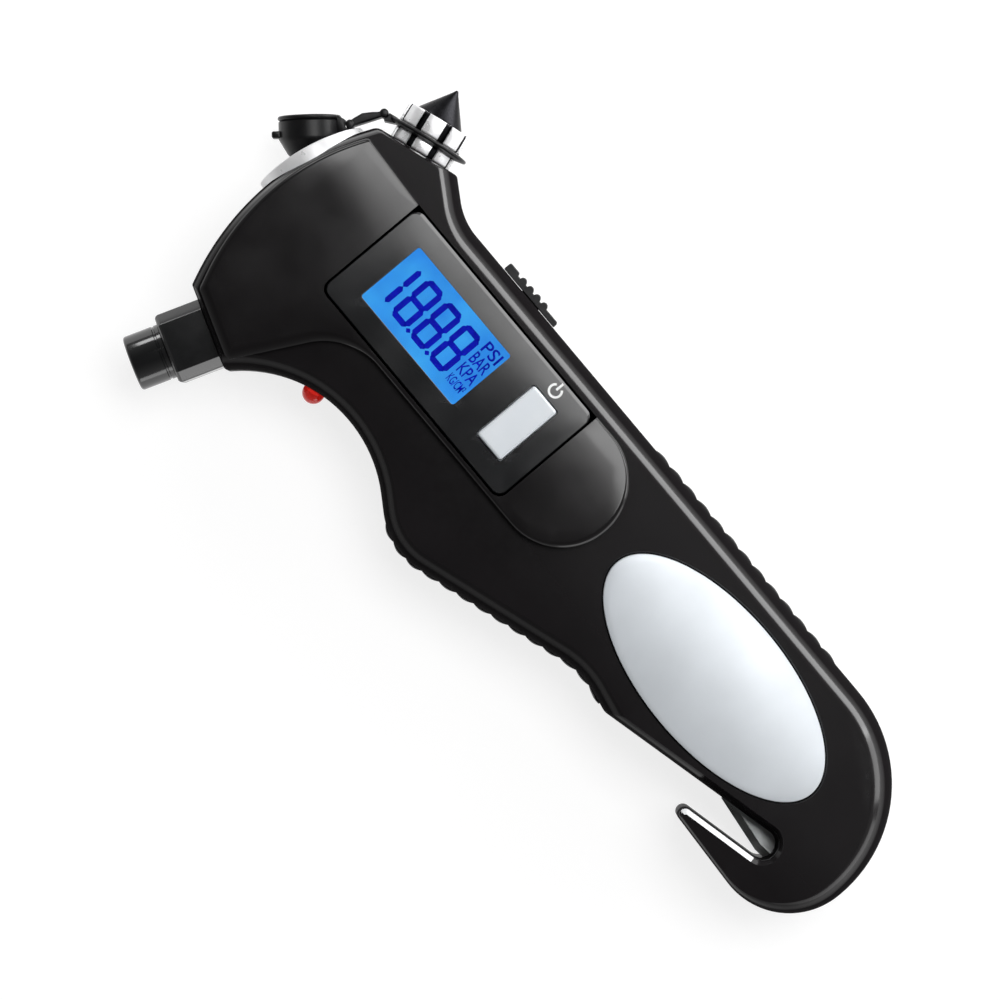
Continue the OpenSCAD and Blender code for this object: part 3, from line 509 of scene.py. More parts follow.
FINISHES: dict[str, Finish] = {
    "case_black": Moulded((0.0078, 0.0068, 0.0074), 0.85, Grain.SPARK, 0.02, (0.03, 0.03, 0.031), 0.3,
                          lacquer=Lacquer(bands=(13.6, 16.6, 22.6, 23.9), side=0.8, top=30.0,
                                          rubbed_x=-11.0, whole_x=2.0, rubbed=0.25)),
    # Pale grey on the black prong's chamfer: a painted highlight.
    "painted_slot_highlight": Moulded((0.72, 0.73, 0.74), 0.3, Grain.GLOSSY, 0.5, (0.8, 0.8, 0.8), 0.2, mottle=0.03),
    "plateau_black": Moulded((0.0052, 0.0045, 0.0049), 0.17, Grain.SATIN, 0.5, (0.03, 0.03, 0.031), 0.3),
    "grip_rubber": Moulded((0.006, 0.006, 0.0065), 0.55, Grain.MATT, 0.25),
    "silver_plastic": Moulded((0.635, 0.67, 0.705), 0.36, Grain.GLOSSY, 0.4, (0.8, 0.8, 0.8), 0.2,
                              metallic=0.15, mottle=0.03),
    "panel_grey": Moulded((0.008, 0.0083, 0.009), 0.17, Grain.SATIN, 0.5, (0.06, 0.06, 0.063), 0.2),
    "clear_window": Clear((0.92, 0.96, 1.0), 0.03, 1.3),
    "lcd": Glow((0.085, 0.44, 0.70), (0.055, 0.33, 0.66), 0.56),
    "backlight": Glow((0.75, 0.88, 1.0), (0.6, 0.8, 1.0), 0.4),
    "zebra": Moulded((0.42, 0.16, 0.24), 0.55, Grain.MATT),
    "board": Laminate(),
    "switch_black": Moulded((0.006, 0.006, 0.0065), 0.5, Grain.SPARK, 0.25, (0.05, 0.05, 0.052)),
    "chuck_plastic": Moulded((0.0045, 0.0048, 0.0052), 0.13, Grain.SATIN, 1.0, (0.05, 0.05, 0.052), 0.3),
    "seal_rubber": Moulded((0.02, 0.02, 0.021), 0.7, Grain.MATT, 0.3),
    "brass": Metal((0.78, 0.58, 0.28), 0.24),
    "sensor_can": Metal((0.72, 0.72, 0.72), 0.3),
    "torch_chrome": Metal((0.95, 0.95, 0.96), 0.34, dull=0.96, metallic=0.4),
    "torch_lens": Clear((0.97, 0.98, 1.0), 0.01),
    "reflector": Metal((0.92, 0.92, 0.93), 0.06),
    "white_lamp": Glow((1.0, 0.97, 0.85), (0.95, 0.85, 0.5), 0.5, 1.5),
    "red_lamp": Clear((0.80, 0.03, 0.02), 0.05, 1.5, 0.6, 0.16),
    "hammer_chrome": Metal((0.95, 0.95, 0.96), 0.30, metallic=0.5),
    "point_black": Metal((0.020, 0.020, 0.022), 0.32, Grain.SCUFFED),
    "cap_rubber": Moulded((0.005, 0.005, 0.0055), 0.36, Grain.MATT, 0.25, (0.04, 0.04, 0.041), 0.3),
    "blade_steel": Metal((0.50, 0.52, 0.52), 0.34),
    "cell_wrap": Sleeve(),
    "spring_steel": Metal((0.66, 0.66, 0.67), 0.24),
    "screw_steel": Metal((0.35, 0.36, 0.38), 0.3, Grain.SCUFFED),
    "ink_white": Moulded((0.82, 0.82, 0.82), 0.5, Grain.MATT, 0.3, (0.6, 0.6, 0.6), 0.1),
    "ink_navy": Glow((0.001, 0.003, 0.34), (0.001, 0.006, 0.42), 0.45, 3.0),
}


class FinishShelf:
    """Finishes that have been made so far, each made once under its own name."""

    def __init__(self) -> None:
        """Start with no finish made."""
        self.made: dict[str, bpy.types.Material] = {}

    def get(self, name: str) -> bpy.types.Material:
        """Return the finish of that name, made on first use.

        Args:
            name: Name of the finish.

        Returns:
            Its material.
        """
        if name not in self.made:
            self.made[name] = FINISHES[name].build(name)
        return self.made[name]


SHELF = FinishShelf()


def heading(angle: float) -> np.ndarray:
    """Return the unit vector at an angle in degrees in the plane of the seam."""
    return np.array([math.cos(math.radians(angle)), math.sin(math.radians(angle))])


def left_of(v: np.ndarray) -> np.ndarray:
    """Return vectors turned a quarter turn to the left."""
    return np.stack([-v[..., 1], v[..., 0]], axis=-1)


def cross_of(a: np.ndarray, b: np.ndarray) -> np.ndarray:
    """Return the plane cross product of vectors."""
    return a[..., 0] * b[..., 1] - a[..., 1] * b[..., 0]


def corner_arcs(corners: np.ndarray, inset: np.ndarray | float, steps: int) -> np.ndarray:
    """Round a polygon's corners after moving its edges inwards.

    Edge i leaves corner i and moves inwards by inset i. Each moved corner is where its two moved
    edges meet. An arc then joins the edges, its radius less the mean inset on a convex corner and
    more on a concave one, and held to what the edges can take.

    Args:
        corners: Rows of x, y and fillet radius, counter-clockwise.
        inset: Inset of each edge, or one for all.
        steps: Chords per arc.

    Returns:
        Points of shape (corners, steps + 1, 2).
    """
    least, fit = 0.12, 0.99
    xy, radius = corners[:, :2], corners[:, 2]
    move = np.broadcast_to(np.asarray(inset, float), len(corners))
    along = np.roll(xy, -1, 0) - xy
    along = along / np.linalg.norm(along, axis=1, keepdims=True)
    before, moved_before = np.roll(along, 1, 0), np.roll(move, 1)
    cross, dot = cross_of(before, along), np.sum(before * along, axis=1)
    slide = (move - moved_before * dot) / -cross
    point = xy + left_of(before) * moved_before[:, None] + before * slide[:, None]
    turn, side = np.arctan2(cross, dot), np.sign(cross)
    radius = np.maximum(least, radius - side * (move + moved_before) / 2)
    length = np.linalg.norm(np.roll(point, -1, 0) - point, axis=1)
    tangent = radius * np.tan(np.abs(turn) / 2)
    share = np.minimum(1.0, fit * length / (tangent + np.roll(tangent, -1)))
    radius = radius * np.minimum(share, np.roll(share, 1))
    start = left_of(before) * (radius * side)[:, None]
    centre = point - before * (radius * np.tan(np.abs(turn) / 2))[:, None] + start
    angle = turn[:, None] * np.linspace(0.0, 1.0, steps + 1)
    cos, sin = np.cos(angle), np.sin(angle)
    spoke = np.stack([start[:, None, 0] * cos - start[:, None, 1] * sin,
                      start[:, None, 0] * sin + start[:, None, 1] * cos], axis=-1)
    return centre[:, None, :] - spoke


def ring_of(corners: np.ndarray, inset: np.ndarray | float, steps: int) -> np.ndarray:
    """Return the closed outline of corner_arcs as one row of points."""
    return corner_arcs(corners, inset, steps).reshape(-1, 2)


def box_corners(low: Sequence[float], high: Sequence[float], radius: float) -> np.ndarray:
    """Return the four corners of a rounded rectangle, counter-clockwise."""
    (x0, y0), (x1, y1) = low, high
    return np.array([[x0, y0, radius], [x1, y0, radius], [x1, y1, radius], [x0, y1, radius]])


def quarter(count: int) -> np.ndarray:
    """Return evenly spaced angles from zero to a quarter turn."""
    return np.linspace(0.0, np.pi / 2, count)


def grown(low: Pair, high: Pair, gap: float) -> tuple[Pair, Pair]:
    """Return the corners of a plane box that is wider by a gap on each side."""
    return (low[0] - gap, low[1] - gap), (high[0] + gap, high[1] + gap)


def oval_ring(centre: Sequence[float], half: Sequence[float], count: int) -> np.ndarray:
    """Return an ellipse: centre plus its half axes times the cosine and sine of a turning angle."""
    a = np.linspace(0.0, 2 * np.pi, count, endpoint=False)
    return np.stack([centre[0] + half[0] * np.cos(a), centre[1] + half[1] * np.sin(a)], axis=-1)


def round_rings(spot: Sequence[float], rows: Sequence[Pair], count: int) -> list[np.ndarray]:
    """Return circles on an upright axis from their radii and heights."""
    return [at_height(oval_ring(spot, (radius, radius), count), z) for radius, z in rows]


def at_height(ring: np.ndarray, z: float | np.ndarray) -> np.ndarray:
    """Return a plane ring lifted to a height."""
    return np.concatenate([ring, np.broadcast_to(np.asarray(z, float), len(ring))[:, None]], axis=1)


def grid_quads(rows: int, columns: int, looped: bool = False) -> list[list[int]]:
    """Number the quads between the closed rows of a grid of points.

    Args:
        rows: Count of rows.
        columns: Points in a row.
        looped: Whether the last row joins the first.

    Returns:
        Four point numbers for each quad.
    """
    i = np.arange(rows if looped else rows - 1)[:, None]
    j = np.arange(columns)[None, :]
    k, m = (i + 1) % rows, (j + 1) % columns
    quads = np.stack([i * columns + j, i * columns + m, k * columns + m, k * columns + j], axis=-1)
    return quads.reshape(-1, 4).tolist()


def new_piece(name: str, points: np.ndarray, faces: list, crease: float = CREASE) -> Piece:
    """Put points in millimetres and faces into a closed mesh whose faces point outwards.

    Args:
        name: Name of the piece.
        points: Points of shape (n, 3).
        faces: Lists of point numbers.
        crease: Angle past which an edge stays sharp.

    Returns:
        The new object, at the origin.
    """
    mesh = bpy.data.meshes.new(name)
    mesh.from_pydata((np.asarray(points, float) * MM).tolist(), [], faces)
    work = bmesh.new()
    work.from_mesh(mesh)
    bmesh.ops.remove_doubles(work, verts=work.verts, dist=MERGE_DISTANCE)
    bmesh.ops.dissolve_degenerate(work, edges=work.edges, dist=LEAST_EDGE)
    bmesh.ops.recalc_face_normals(work, faces=work.faces)
    work.to_mesh(mesh)
    work.free()
    piece = bpy.data.objects.new(name, mesh)
    bpy.context.scene.collection.objects.link(piece)
    smooth(piece, crease)
    return piece


def smooth(piece: Piece, crease: float) -> None:
    """Shade a piece smoothly, with sharp edges where its faces turn by more than the crease.

    Args:
        piece: Piece to shade.
        crease: Angle in radians.
    """
    mesh = piece.data
    mesh.polygons.foreach_set("use_smooth", np.ones(len(mesh.polygons), bool))
    mesh.set_sharp_from_angle(angle=crease)


def stacked(name: str, rings: Sequence[np.ndarray], crease: float = CREASE,
            roof: Callable[[np.ndarray], np.ndarray] | None = None, pitch: float = 2.5) -> Piece:
    """Make a solid through rings of equal counts, from its floor to its roof.

    The sides are the grid of ring and place along the ring. The floor is flat. A roof with a
    height function is filled with a lattice of points, each lifted to its height.

    Args:
        name: Name of the piece.
        rings: Rings of shape (n, 3), the lowest first.
        crease: Angle past which an edge stays sharp.
        roof: Height at plane points, or None for a flat roof.
        pitch: Spacing of the roof's lattice.

    Returns:
        The new object.
    """
    points, count = np.concatenate(rings), len(rings[0])
    faces = grid_quads(len(rings), count)
    faces.append(list(range(count)))
    last = (len(rings) - 1) * count
    if roof is None:
        faces.append(list(range(last, last + count)))
        return new_piece(name, points, faces, crease)
    edge = rings[-1][:, :2]
    lattice = lattice_inside(edge, pitch)
    spots = np.concatenate([edge, lattice])
    loop = [(i, (i + 1) % count) for i in range(count)]
    inside_only = 1
    cut = geometry.delaunay_2d_cdt([tuple(p) for p in spots], loop, [], inside_only, CUT_TOLERANCE)
    flat = np.array([tuple(v) for v in cut[0]])
    same = np.array([source[0] if source else -1 for source in cut[3]])
    spare = len(points) + np.cumsum(same >= count) - 1
    number = np.where((same >= 0) & (same < count), last + same, spare)
    extra = flat[same >= count]
    points = np.concatenate([points, np.column_stack([extra, roof(extra)])])
    faces += [[int(number[v]) for v in face] for face in cut[2]]
    return new_piece(name, points, faces, crease)


def lattice_inside(edge: np.ndarray, pitch: float) -> np.ndarray:
    """Return lattice points inside an outline and clear of it, by counting edge crossings.

    A point is inside where a ray to the right of it crosses the outline an odd number of times.

    Args:
        edge: Closed outline of shape (n, 2).
        pitch: Spacing of the lattice, and half of it the room kept to the outline.

    Returns:
        Points of shape (m, 2).
    """
    low, high = edge.min(0), edge.max(0)
    x, y = np.meshgrid(np.arange(low[0], high[0], pitch), np.arange(low[1], high[1], pitch))
    spots = np.stack([x.ravel(), y.ravel()], axis=-1)
    a, b = edge, np.roll(edge, -1, 0)
    dx, dy = spots[:, None, 0] - a[:, 0], spots[:, None, 1] - a[:, 1]
    ex, ey = (b - a)[:, 0], (b - a)[:, 1]
    over = (a[:, 1] > spots[:, None, 1]) != (b[:, 1] > spots[:, None, 1])
    reach = np.divide(dy * ex, ey, out=np.zeros_like(dy), where=ey != 0)
    inside = np.sum(over & (dx < reach), axis=1) % 2 == 1
    least = 1e-12
    foot = np.clip((dx * ex + dy * ey) / np.maximum(ex * ex + ey * ey, least), 0, 1)
    room = np.min(np.hypot(dx - foot * ex, dy - foot * ey), axis=1)
    return spots[inside & (room > pitch / 2)]


def carve(piece: Piece, tools: Sequence[Piece], join: bool = False, crease: float = CREASE) -> Piece:
    """Cut tools out of a piece, or join them to it, and keep the result as the piece's mesh.

    Args:
        piece: The piece that is worked on.
        tools: Closed solids, which are used up.
        join: Whether the tools are added and not cut out.
        crease: Angle past which an edge stays sharp.

    Returns:
        The same piece.
    """
    for tool in tools:
        step = piece.modifiers.new(tool.name, "BOOLEAN")
        step.object, step.solver = tool, "EXACT"
        step.operation = "UNION" if join else "DIFFERENCE"
    seen = piece.evaluated_get(bpy.context.evaluated_depsgraph_get())
    mesh = bpy.data.meshes.new_from_object(seen)
    old = piece.data
    piece.modifiers.clear()
    piece.data = mesh
    bpy.data.meshes.remove(old)
    mesh.name = piece.name
    for tool in tools:
        spent = tool.data
        bpy.data.objects.remove(tool)
        bpy.data.meshes.remove(spent)
    smooth(piece, crease)
    return piece


def block(name: str, low: Sequence[float], high: Sequence[float], radius: float,
          soft: float = 0.0, flare: float = 0.0) -> Piece:
    """Make a rounded block whose upper edge is rounded in, or flared out for a cutter.

    The rounding is a quarter circle: the inset grows as one minus the cosine while the height
    climbs as the sine.

    Args:
        name: Name of the piece.
        low: Lowest corner.
        high: Highest corner.
        radius: Radius of the upright edges.
        soft: Radius of the rounding along the upper edge.
        flare: Outward chamfer below the upper face.

    Returns:
        The new object.
    """
    corners, steps, land = box_corners(low[:2], high[:2], radius), 8, 1.35
    rows = [(0.0, low[2])]
    if soft:
        rows += [(soft * (1 - np.cos(a)), high[2] - soft * (1 - np.sin(a))) for a in quarter(7)]
        rows.append((soft * land, high[2]))
    elif flare:
        rows += [(0.0, high[2] - flare), (-flare, high[2])]
    else:
        rows.append((0.0, high[2]))
    return stacked(name, [at_height(ring_of(corners, inset, steps), z) for inset, z in rows])


@dataclass(frozen=True)
class Axis:
    """Level axis in the plane of the seam that turned pieces are set on."""

    x: float
    y: float
    angle: float

    def spot(self, along: float, aside: float) -> np.ndarray:
        """Return the plane point at stations along the axis and to its left."""
        way = heading(self.angle)
        return np.array([self.x, self.y]) + way * along + left_of(way) * aside

    def place(self, local: np.ndarray) -> np.ndarray:
        """Carry points given as (down, left, along) onto the axis.

        Args:
            local: Points, three values each.

        Returns:
            The points in the frame.
        """
        way = heading(self.angle)
        flat = np.array([self.x, self.y]) + local[..., 2:3] * way + local[..., 1:2] * left_of(way)
        return np.concatenate([flat, SEAM_Z - local[..., 0:1]], axis=-1)

    def stations(self, points: np.ndarray) -> tuple[np.ndarray, np.ndarray]:
        """Return the stations of plane points along the axis and to its left."""
        way, flat = heading(self.angle), points[:, :2] - np.array([self.x, self.y])
        return flat @ way, flat @ left_of(way)

    def bore(self, name: str, start: float, end: float, radius: float) -> Piece:
        """Return a plain rod between two stations for use as a cutter."""
        return self.turned(name, [(start, 0), (start, radius), (end, radius), (end, 0)], False)

    def turned(self, name: str, profile: Sequence[Pair], looped: bool,
               relief: Callable[[np.ndarray, np.ndarray], np.ndarray] | None = None,
               count: int = 96) -> Piece:
        """Turn a profile about the axis.

        A point at station s and turn a lies at s along the axis, r times cosine down and r times
        sine to the left, where r is the profile's radius less the relief at that turn.

        Args:
            name: Name of the piece.
            profile: Station and radius of each point, from end to end.
            looped: Whether the profile is a closed loop, as of a tube.
            relief: Depth taken off at profile rows and turns, or None.
            count: Points round the axis.

        Returns:
            The new object.
        """
        station, radius = np.array(profile, float).T
        turn = np.linspace(0, 2 * np.pi, count, endpoint=False)[None, :]
        reach = np.repeat(radius[:, None], count, axis=1)
        if relief is not None:
            reach = reach - relief(reach, turn)
        s = np.repeat(station[:, None], count, axis=1)
        local = np.stack([reach * np.cos(turn), reach * np.sin(turn), s], axis=-1)
        faces = grid_quads(len(profile), count, looped)
        return new_piece(name, self.place(local).reshape(-1, 3), faces)


def swept(name: str, path: np.ndarray, section: np.ndarray) -> Piece:
    """Carry a closed section along a plane path, and close both ends.

    A point is the path point plus the section's first value along the path's right-hand normal
    and its second value upwards.

    Args:
        name: Name of the piece.
        path: Points of shape (n, 3).
        section: Offsets of shape (m, 2), or (n, m, 2) where it changes on the way.

    Returns:
        The new object.
    """
    way = np.gradient(path[:, :2], axis=0)
    normal = -left_of(way / np.linalg.norm(way, axis=1, keepdims=True))
    section = np.broadcast_to(section, (len(path), *section.shape[-2:]))
    flat = path[:, None, :2] + section[..., 0:1] * normal[:, None, :]
    points = np.concatenate([flat, path[:, None, 2:] + section[..., 1:2]], axis=-1)
    count = section.shape[1]
    faces = grid_quads(len(path), count)
    faces += [list(range(count)), list(range((len(path) - 1) * count, len(path) * count))]
    return new_piece(name, points.reshape(-1, 3), faces)


def show(piece: Piece, finish: str, body: Body, *nodes: str, slot: str = "") -> None:
    """Dress a piece, let it ride on its body and hide the solids that it stands for.

    Args:
        piece: The new piece.
        finish: Name of its finish.
        body: Body that it moves with.
        nodes: Solids that it replaces.
        slot: Material slot of the record, where it differs from the finish. Not used.
    """
    piece.data.materials.clear()
    piece.data.materials.append(SHELF.get(finish))
    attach(piece, body.value)
    if nodes:
        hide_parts(*nodes)
    LOG.info("%s: %d faces, %s", piece.name, len(piece.data.polygons), finish)


HAMMER = Axis(29.55, 72.3, 18.5)
CHUCK = Axis(-25.7, 71.4, 161.0)
FLASHER = Axis(-17.45, 49.2, 198.5)
TORCH = Axis(12.5, 80.4, 90.0)
SLOT = Axis(-6.9, -78.0, 103.5)
SLOT_HALF = 2.9
PALM_X = 27.6


def between(values: np.ndarray, span: Pair) -> np.ndarray:
    """Return where values lie between two limits."""
    return (values > span[0]) & (values < span[1])


def face_values(mesh: bpy.types.Mesh, name: str) -> np.ndarray:
    """Return the centre or the normal of each face of a mesh, as rows of three.

    Args:
        mesh: Mesh to read.
        name: Property of its faces.

    Returns:
        One row for each face.
    """
    values = np.zeros(3 * len(mesh.polygons))
    mesh.polygons.foreach_get(name, values)
    return values.reshape(-1, 3)


def cornered(spot: np.ndarray, radius: float) -> list[float]:
    """Return a plane point and its fillet radius as one corner row."""
    return [float(spot[0]), float(spot[1]), radius]


def plain_block(name: str, low: Sequence[float], high: Sequence[float]) -> Piece:
    """Return a sharp block for use as a cutter."""
    return block(name, low, high, SHARP_FILLET)


@dataclass
class Casing:
    """The two moulded halves, their grip strips and the silver inlay.

    A corner is x, y and fillet radius, and edge i of an outline leaves corner i. A row of a hollow is
    a height and a share of the rounding. A row of a seat or a rim is a gap, radius or share, and a
    height. A bore is its name, its axis, two stations and a radius.
    """

    corners: np.ndarray = field(default_factory=lambda: np.array([
        [-18.0, -96.0, 16.0], [PALM_X, -96.0, 29.5], [PALM_X, 56.0, 14.0],
        cornered(HAMMER.spot(0, -9.0), 1.0), cornered(HAMMER.spot(0, 9.7), 2.5),
        [1.8, 92.1, 56.0],
        cornered(CHUCK.spot(0, -10.4), 0.8), cornered(CHUCK.spot(0, 8.0), 1.0),
        [-5.7, 47.4, 29.0], [-26.4, 15.2, 16.0], [-12.3, -28.5, 20.0],
        cornered(SLOT.spot(41.0, -2.5), 3.0), cornered(SLOT.spot(-SLOT_HALF, -SLOT_HALF), SLOT_HALF),
        cornered(SLOT.spot(-SLOT_HALF, SLOT_HALF), SLOT_HALF), cornered(SLOT.spot(18.0, SLOT_HALF), 1.6),
        cornered(SLOT.spot(17.0, 5.6), 1.2)]))
    edge_round: np.ndarray = field(default_factory=lambda: np.array(
        [5, 6, 5, 1.2, 2.4, 2.4, 1.2, 4, 4, 4.5, 4, 2.2, 0.9, 0.9, 0.9, 1.0]))
    plateau_corners: np.ndarray = field(default_factory=lambda: np.array([
        [-4.3, -9.8, 13.4], [22.6, -9.8, 13.4], [22.6, 62.0, 30.0], [23.6, 80.4, 1.2], [1.8, 90.0, 54.5],
        cornered(CHUCK.spot(-1.4, -8.6), 1.5), cornered(CHUCK.spot(-1.4, 6.6), 1.5),
        [-4.3, 53.0, 14.0]]))
    plateau_soft: np.ndarray = field(default_factory=lambda: np.array(
        [1.4, 0.5, 0.5, 0.9, 1.3, 1.9, 2.4, 0.7]))
    slot_edges: tuple[int, ...] = (12, 13, 14)
    slot_chamfer: tuple[float, ...] = (0.9, 1.1, 0.9)
    chamfer_drop: float = 1.0
    chamfer_along: Pair = (0.0, 19.0)
    chamfer_aside: Pair = (2.4, 4.3)
    chamfer_tilt: Pair = (0.3, 0.95)
    seam_groove: float = 0.25
    upright_top: float = 14.5
    front_round: float = 9.0
    front_rise: float = 9.3
    back_round: float = 5.0
    back_share: float = 0.8
    back_land: float = 1.06
    plateau_root: float = 1.2
    plateau_top: float = 27.5
    rim_drop: float = 0.7
    rim_start: float = math.radians(35)
    crown_ridge: float = 6.0
    crown_bend: Pair = (0.0004, 0.0022)
    panel_gap: float = 0.42
    panel_open: float = 3.0
    panel_seat: Pair = (25.0, 28.5)
    panel_fillet: float = 2.2
    way_low: Triple = (0.6, 12.4, 20.0)
    way_high: Triple = (18.8, 59.0, 29.0)
    wall: float = 2.0
    front_hollow: Pairs = ((12.0, 0.0), (16.0, 0.0), (20.0, 0.35), (22.0, 0.9))
    rear_hollow: Pairs = ((2.0, 0.48), (6.0, 0.0), (14.0, 0.0))
    bay_floor: float = -66.0
    bay_fillets: Pair = (2.0, 6.0)
    bay_low: Triple = (-2.2, -63.9, 0.9)
    bay_high: Triple = (20.4, -16.1, 4.0)
    bores: tuple[tuple[str, Axis, float, float, float], ...] = (
        ("torch_bore", TORCH, -8.0, 14.0, 11.6), ("chuck_bore", CHUCK, -9.0, 5.0, 5.5),
        ("hammer_bore", HAMMER, -9.0, 5.0, 3.1), ("lamp_bore", FLASHER, -6.0, 5.0, 2.42))
    stem_slot: tuple[Triple, ...] = ((22.0, 32.55, 11.25), (30.0, 42.05, 14.75))
    head_seat: Pairs = ((2.9, -0.5), (2.5, 0.4), (2.5, 3.2))
    inlay_at: Pair = (7.1, -46.1)
    inlay_half: Pair = (13.9, 30.1)
    inlay_seat: Pairs = ((0.3, 23.5), (0.3, 24.75), (0.8, 25.25))
    inlay_rim: Pairs = ((1.0, 23.7), (1.0, 24.95), (0.995, 25.12))
    inlay_rim_top: float = 25.2
    inlay_dome: float = 1.2
    inlay_dome_share: float = 0.985
    grip_middle: float = 11.5
    grip_height: float = 8.8
    grip_seat: float = 1.1
    palm_span: Pair = (-60.0, -4.0)
    rib_pitch: float = 4.2
    rib_rise: float = 0.5
    rib_steps: int = 16
    arc_steps: int = 26

    def case_ring(self, share: float, z: float) -> np.ndarray:
        """Return the casing's outline with each edge moved in by a share of its rounding."""
        return at_height(ring_of(self.corners, self.edge_round * share, self.arc_steps), z)

    def face_ring(self, height: float) -> np.ndarray:
        """Return the front half's outline at a height: rounded edges, and a flat chamfer at the slot.

        An edge's inset is its rounding times one minus the cosine of the angle whose sine is the
        share of the rounding's rise. The rise is a little more than the height, so that the face
        is flat up to a clear bend.

        Args:
            height: Height between the foot of the rounding and the face.

        Returns:
            The outline as points of shape (n, 3).
        """
        climb = np.clip((height - FACE_Z + self.front_round) / self.front_rise, 0.0, 1.0)
        inset = self.edge_round * (1 - np.sqrt(1 - climb ** 2))
        share = np.clip(1 - (FACE_Z - height) / self.chamfer_drop, 0.0, 1.0)
        inset[list(self.slot_edges)] = np.array(self.slot_chamfer) * share
        return at_height(ring_of(self.corners, inset, self.arc_steps), height)

    @classmethod
    def sag(cls, spots: np.ndarray) -> np.ndarray:
        """Return how far the crowned plateau has dropped: a parabola on each side of its ridge."""
        aside = spots[:, 0] - cls.crown_ridge
        return np.where(aside < 0, cls.crown_bend[0], cls.crown_bend[1]) * aside ** 2

    def hollow(self, rows: Sequence[Pair]) -> Piece:
        """Make the inner hollow of a half as a cutter, which ends at the floor of the battery bay.

        Args:
            rows: Height and share of the rounding of each ring.

        Returns:
            The cutter.
        """
        first, last, steps = 2, 12, 10
        way = heading(SLOT.angle)
        low = SLOT.spot((self.bay_floor - SLOT.y + SLOT_HALF * way[0]) / way[1], -SLOT_HALF)
        slot_fillet, palm_fillet = self.bay_fillets
        corners = np.array([cornered(low, slot_fillet), [PALM_X, self.bay_floor, palm_fillet],
                            *self.corners[first:last]])
        edges = np.concatenate([[0.0], self.edge_round[first - 1:last]])
        rings = [at_height(ring_of(corners, self.wall + edges * share, steps), z) for z, share in rows]
        return stacked("hollow", rings)

    def seam_tools(self) -> list[Piece]:
        """Return cutters for all that passes through the seam of the halves.

        Returns:
            The cutters.
        """
        room, reach, steps = 0.1, 3.0, 6
        tools = [axis.bore(name, start, end, radius) for name, axis, start, end, radius in self.bores]
        tools.append(plain_block("stem_slot", *self.stem_slot))
        half, deep = self.grip_height / 2 + 2 * room, self.grip_seat + room
        section = np.array([[reach, -half], [reach, half], [-deep, half], [-deep, -half]])
        tools += [swept("grip_seat", path, section) for path in (self.finger_path(), self.palm_path())]
        blade, thick = ring_of(Cutter().corners, -room, steps), Cutter.thick / 2 + room
        rings = [at_height(blade, SEAM_Z - thick), at_height(blade, SEAM_Z + thick)]
        tools.append(stacked("blade_pocket", rings))
        return tools

    def finger_path(self) -> np.ndarray:
        """Return the outline from the hip over the waist to the belt slot, evenly spaced.

        Returns:
            Points of the path.
        """
        hip, waist, slot_end, skipped, short_of_slot = 9, 10, 11, 4, (0.1, 2.0)
        arcs = corner_arcs(self.corners, 0.0, self.arc_steps)
        end = self.corners[[slot_end], :2] + np.array(short_of_slot)
        return self.even(np.concatenate([arcs[hip, skipped:], arcs[waist], end]))

    def palm_path(self) -> np.ndarray:
        """Return the straight palm side, evenly spaced."""
        return self.even(np.array([[PALM_X, y] for y in self.palm_span]))

    def even(self, way: np.ndarray) -> np.ndarray:
        """Return a path sampled at equal steps, with whole ribs, at the grips' height.

        Args:
            way: Points of a plane path.

        Returns:
            The even points.
        """
        gaps = np.linalg.norm(np.diff(way, axis=0), axis=1)
        run = np.concatenate([[0.0], np.cumsum(gaps)])
        ribs = max(1, round(run[-1] / self.rib_pitch))
        s = np.linspace(0, run[-1], self.rib_steps * ribs + 1)
        flat = np.stack([np.interp(s, run, way[:, 0]), np.interp(s, run, way[:, 1])], axis=-1)
        return at_height(flat, self.grip_middle)

    def front(self) -> Piece:
        """Make the front half: seam groove, rounded sides, flat face, seats and openings.

        Returns:
            The piece.
        """
        rings = [self.groove_ring(), self.case_ring(0.0, SEAM_Z + self.seam_groove),
                 self.case_ring(0.0, self.upright_top)]
        rings += [self.face_ring(FACE_Z - self.front_round * (1 - np.sin(a))) for a in quarter(15)]
        half = stacked("casing_front", rings)
        a, b = self.inlay_half
        seat = [at_height(oval_ring(self.inlay_at, (a + gap, b + gap), 160), z) for gap, z in self.inlay_seat]
        tools = [self.hollow(self.front_hollow), self.display_way(), stacked("inlay_seat", seat)]
        return carve(half, tools + self.seam_tools(), crease=SOFT_CREASE)

    def groove_ring(self) -> np.ndarray:
        """Return the outline at the seam, moved in so that the halves meet in a groove."""
        return at_height(ring_of(self.corners, self.seam_groove, self.arc_steps), SEAM_Z)

    def paint_slot_highlight(self, half: Piece) -> None:
        """Give the chamfer on the prong's inner side, found by its place and tilt, a pale finish that is a
        painted highlight.

        Args:
            half: The front half.
        """
        mesh, slack = half.data, 0.1
        centre, tilt = face_values(mesh, "center") / MM, face_values(mesh, "normal")[:, 2]
        along, aside = SLOT.stations(centre)
        near = between(along, self.chamfer_along) & between(aside, self.chamfer_aside)
        high = centre[:, 2] > FACE_Z - self.chamfer_drop - slack
        # Faces of the chamfer that get the painted highlight.
        edge = near & high & between(tilt, self.chamfer_tilt)
        mesh.materials.append(SHELF.get("painted_slot_highlight"))
        mesh.polygons.foreach_set("material_index", edge.astype(np.int32))

    def display_way(self) -> Piece:
        """Return a cutter for the opening under the display."""
        return plain_block("display_way", self.way_low, self.way_high)

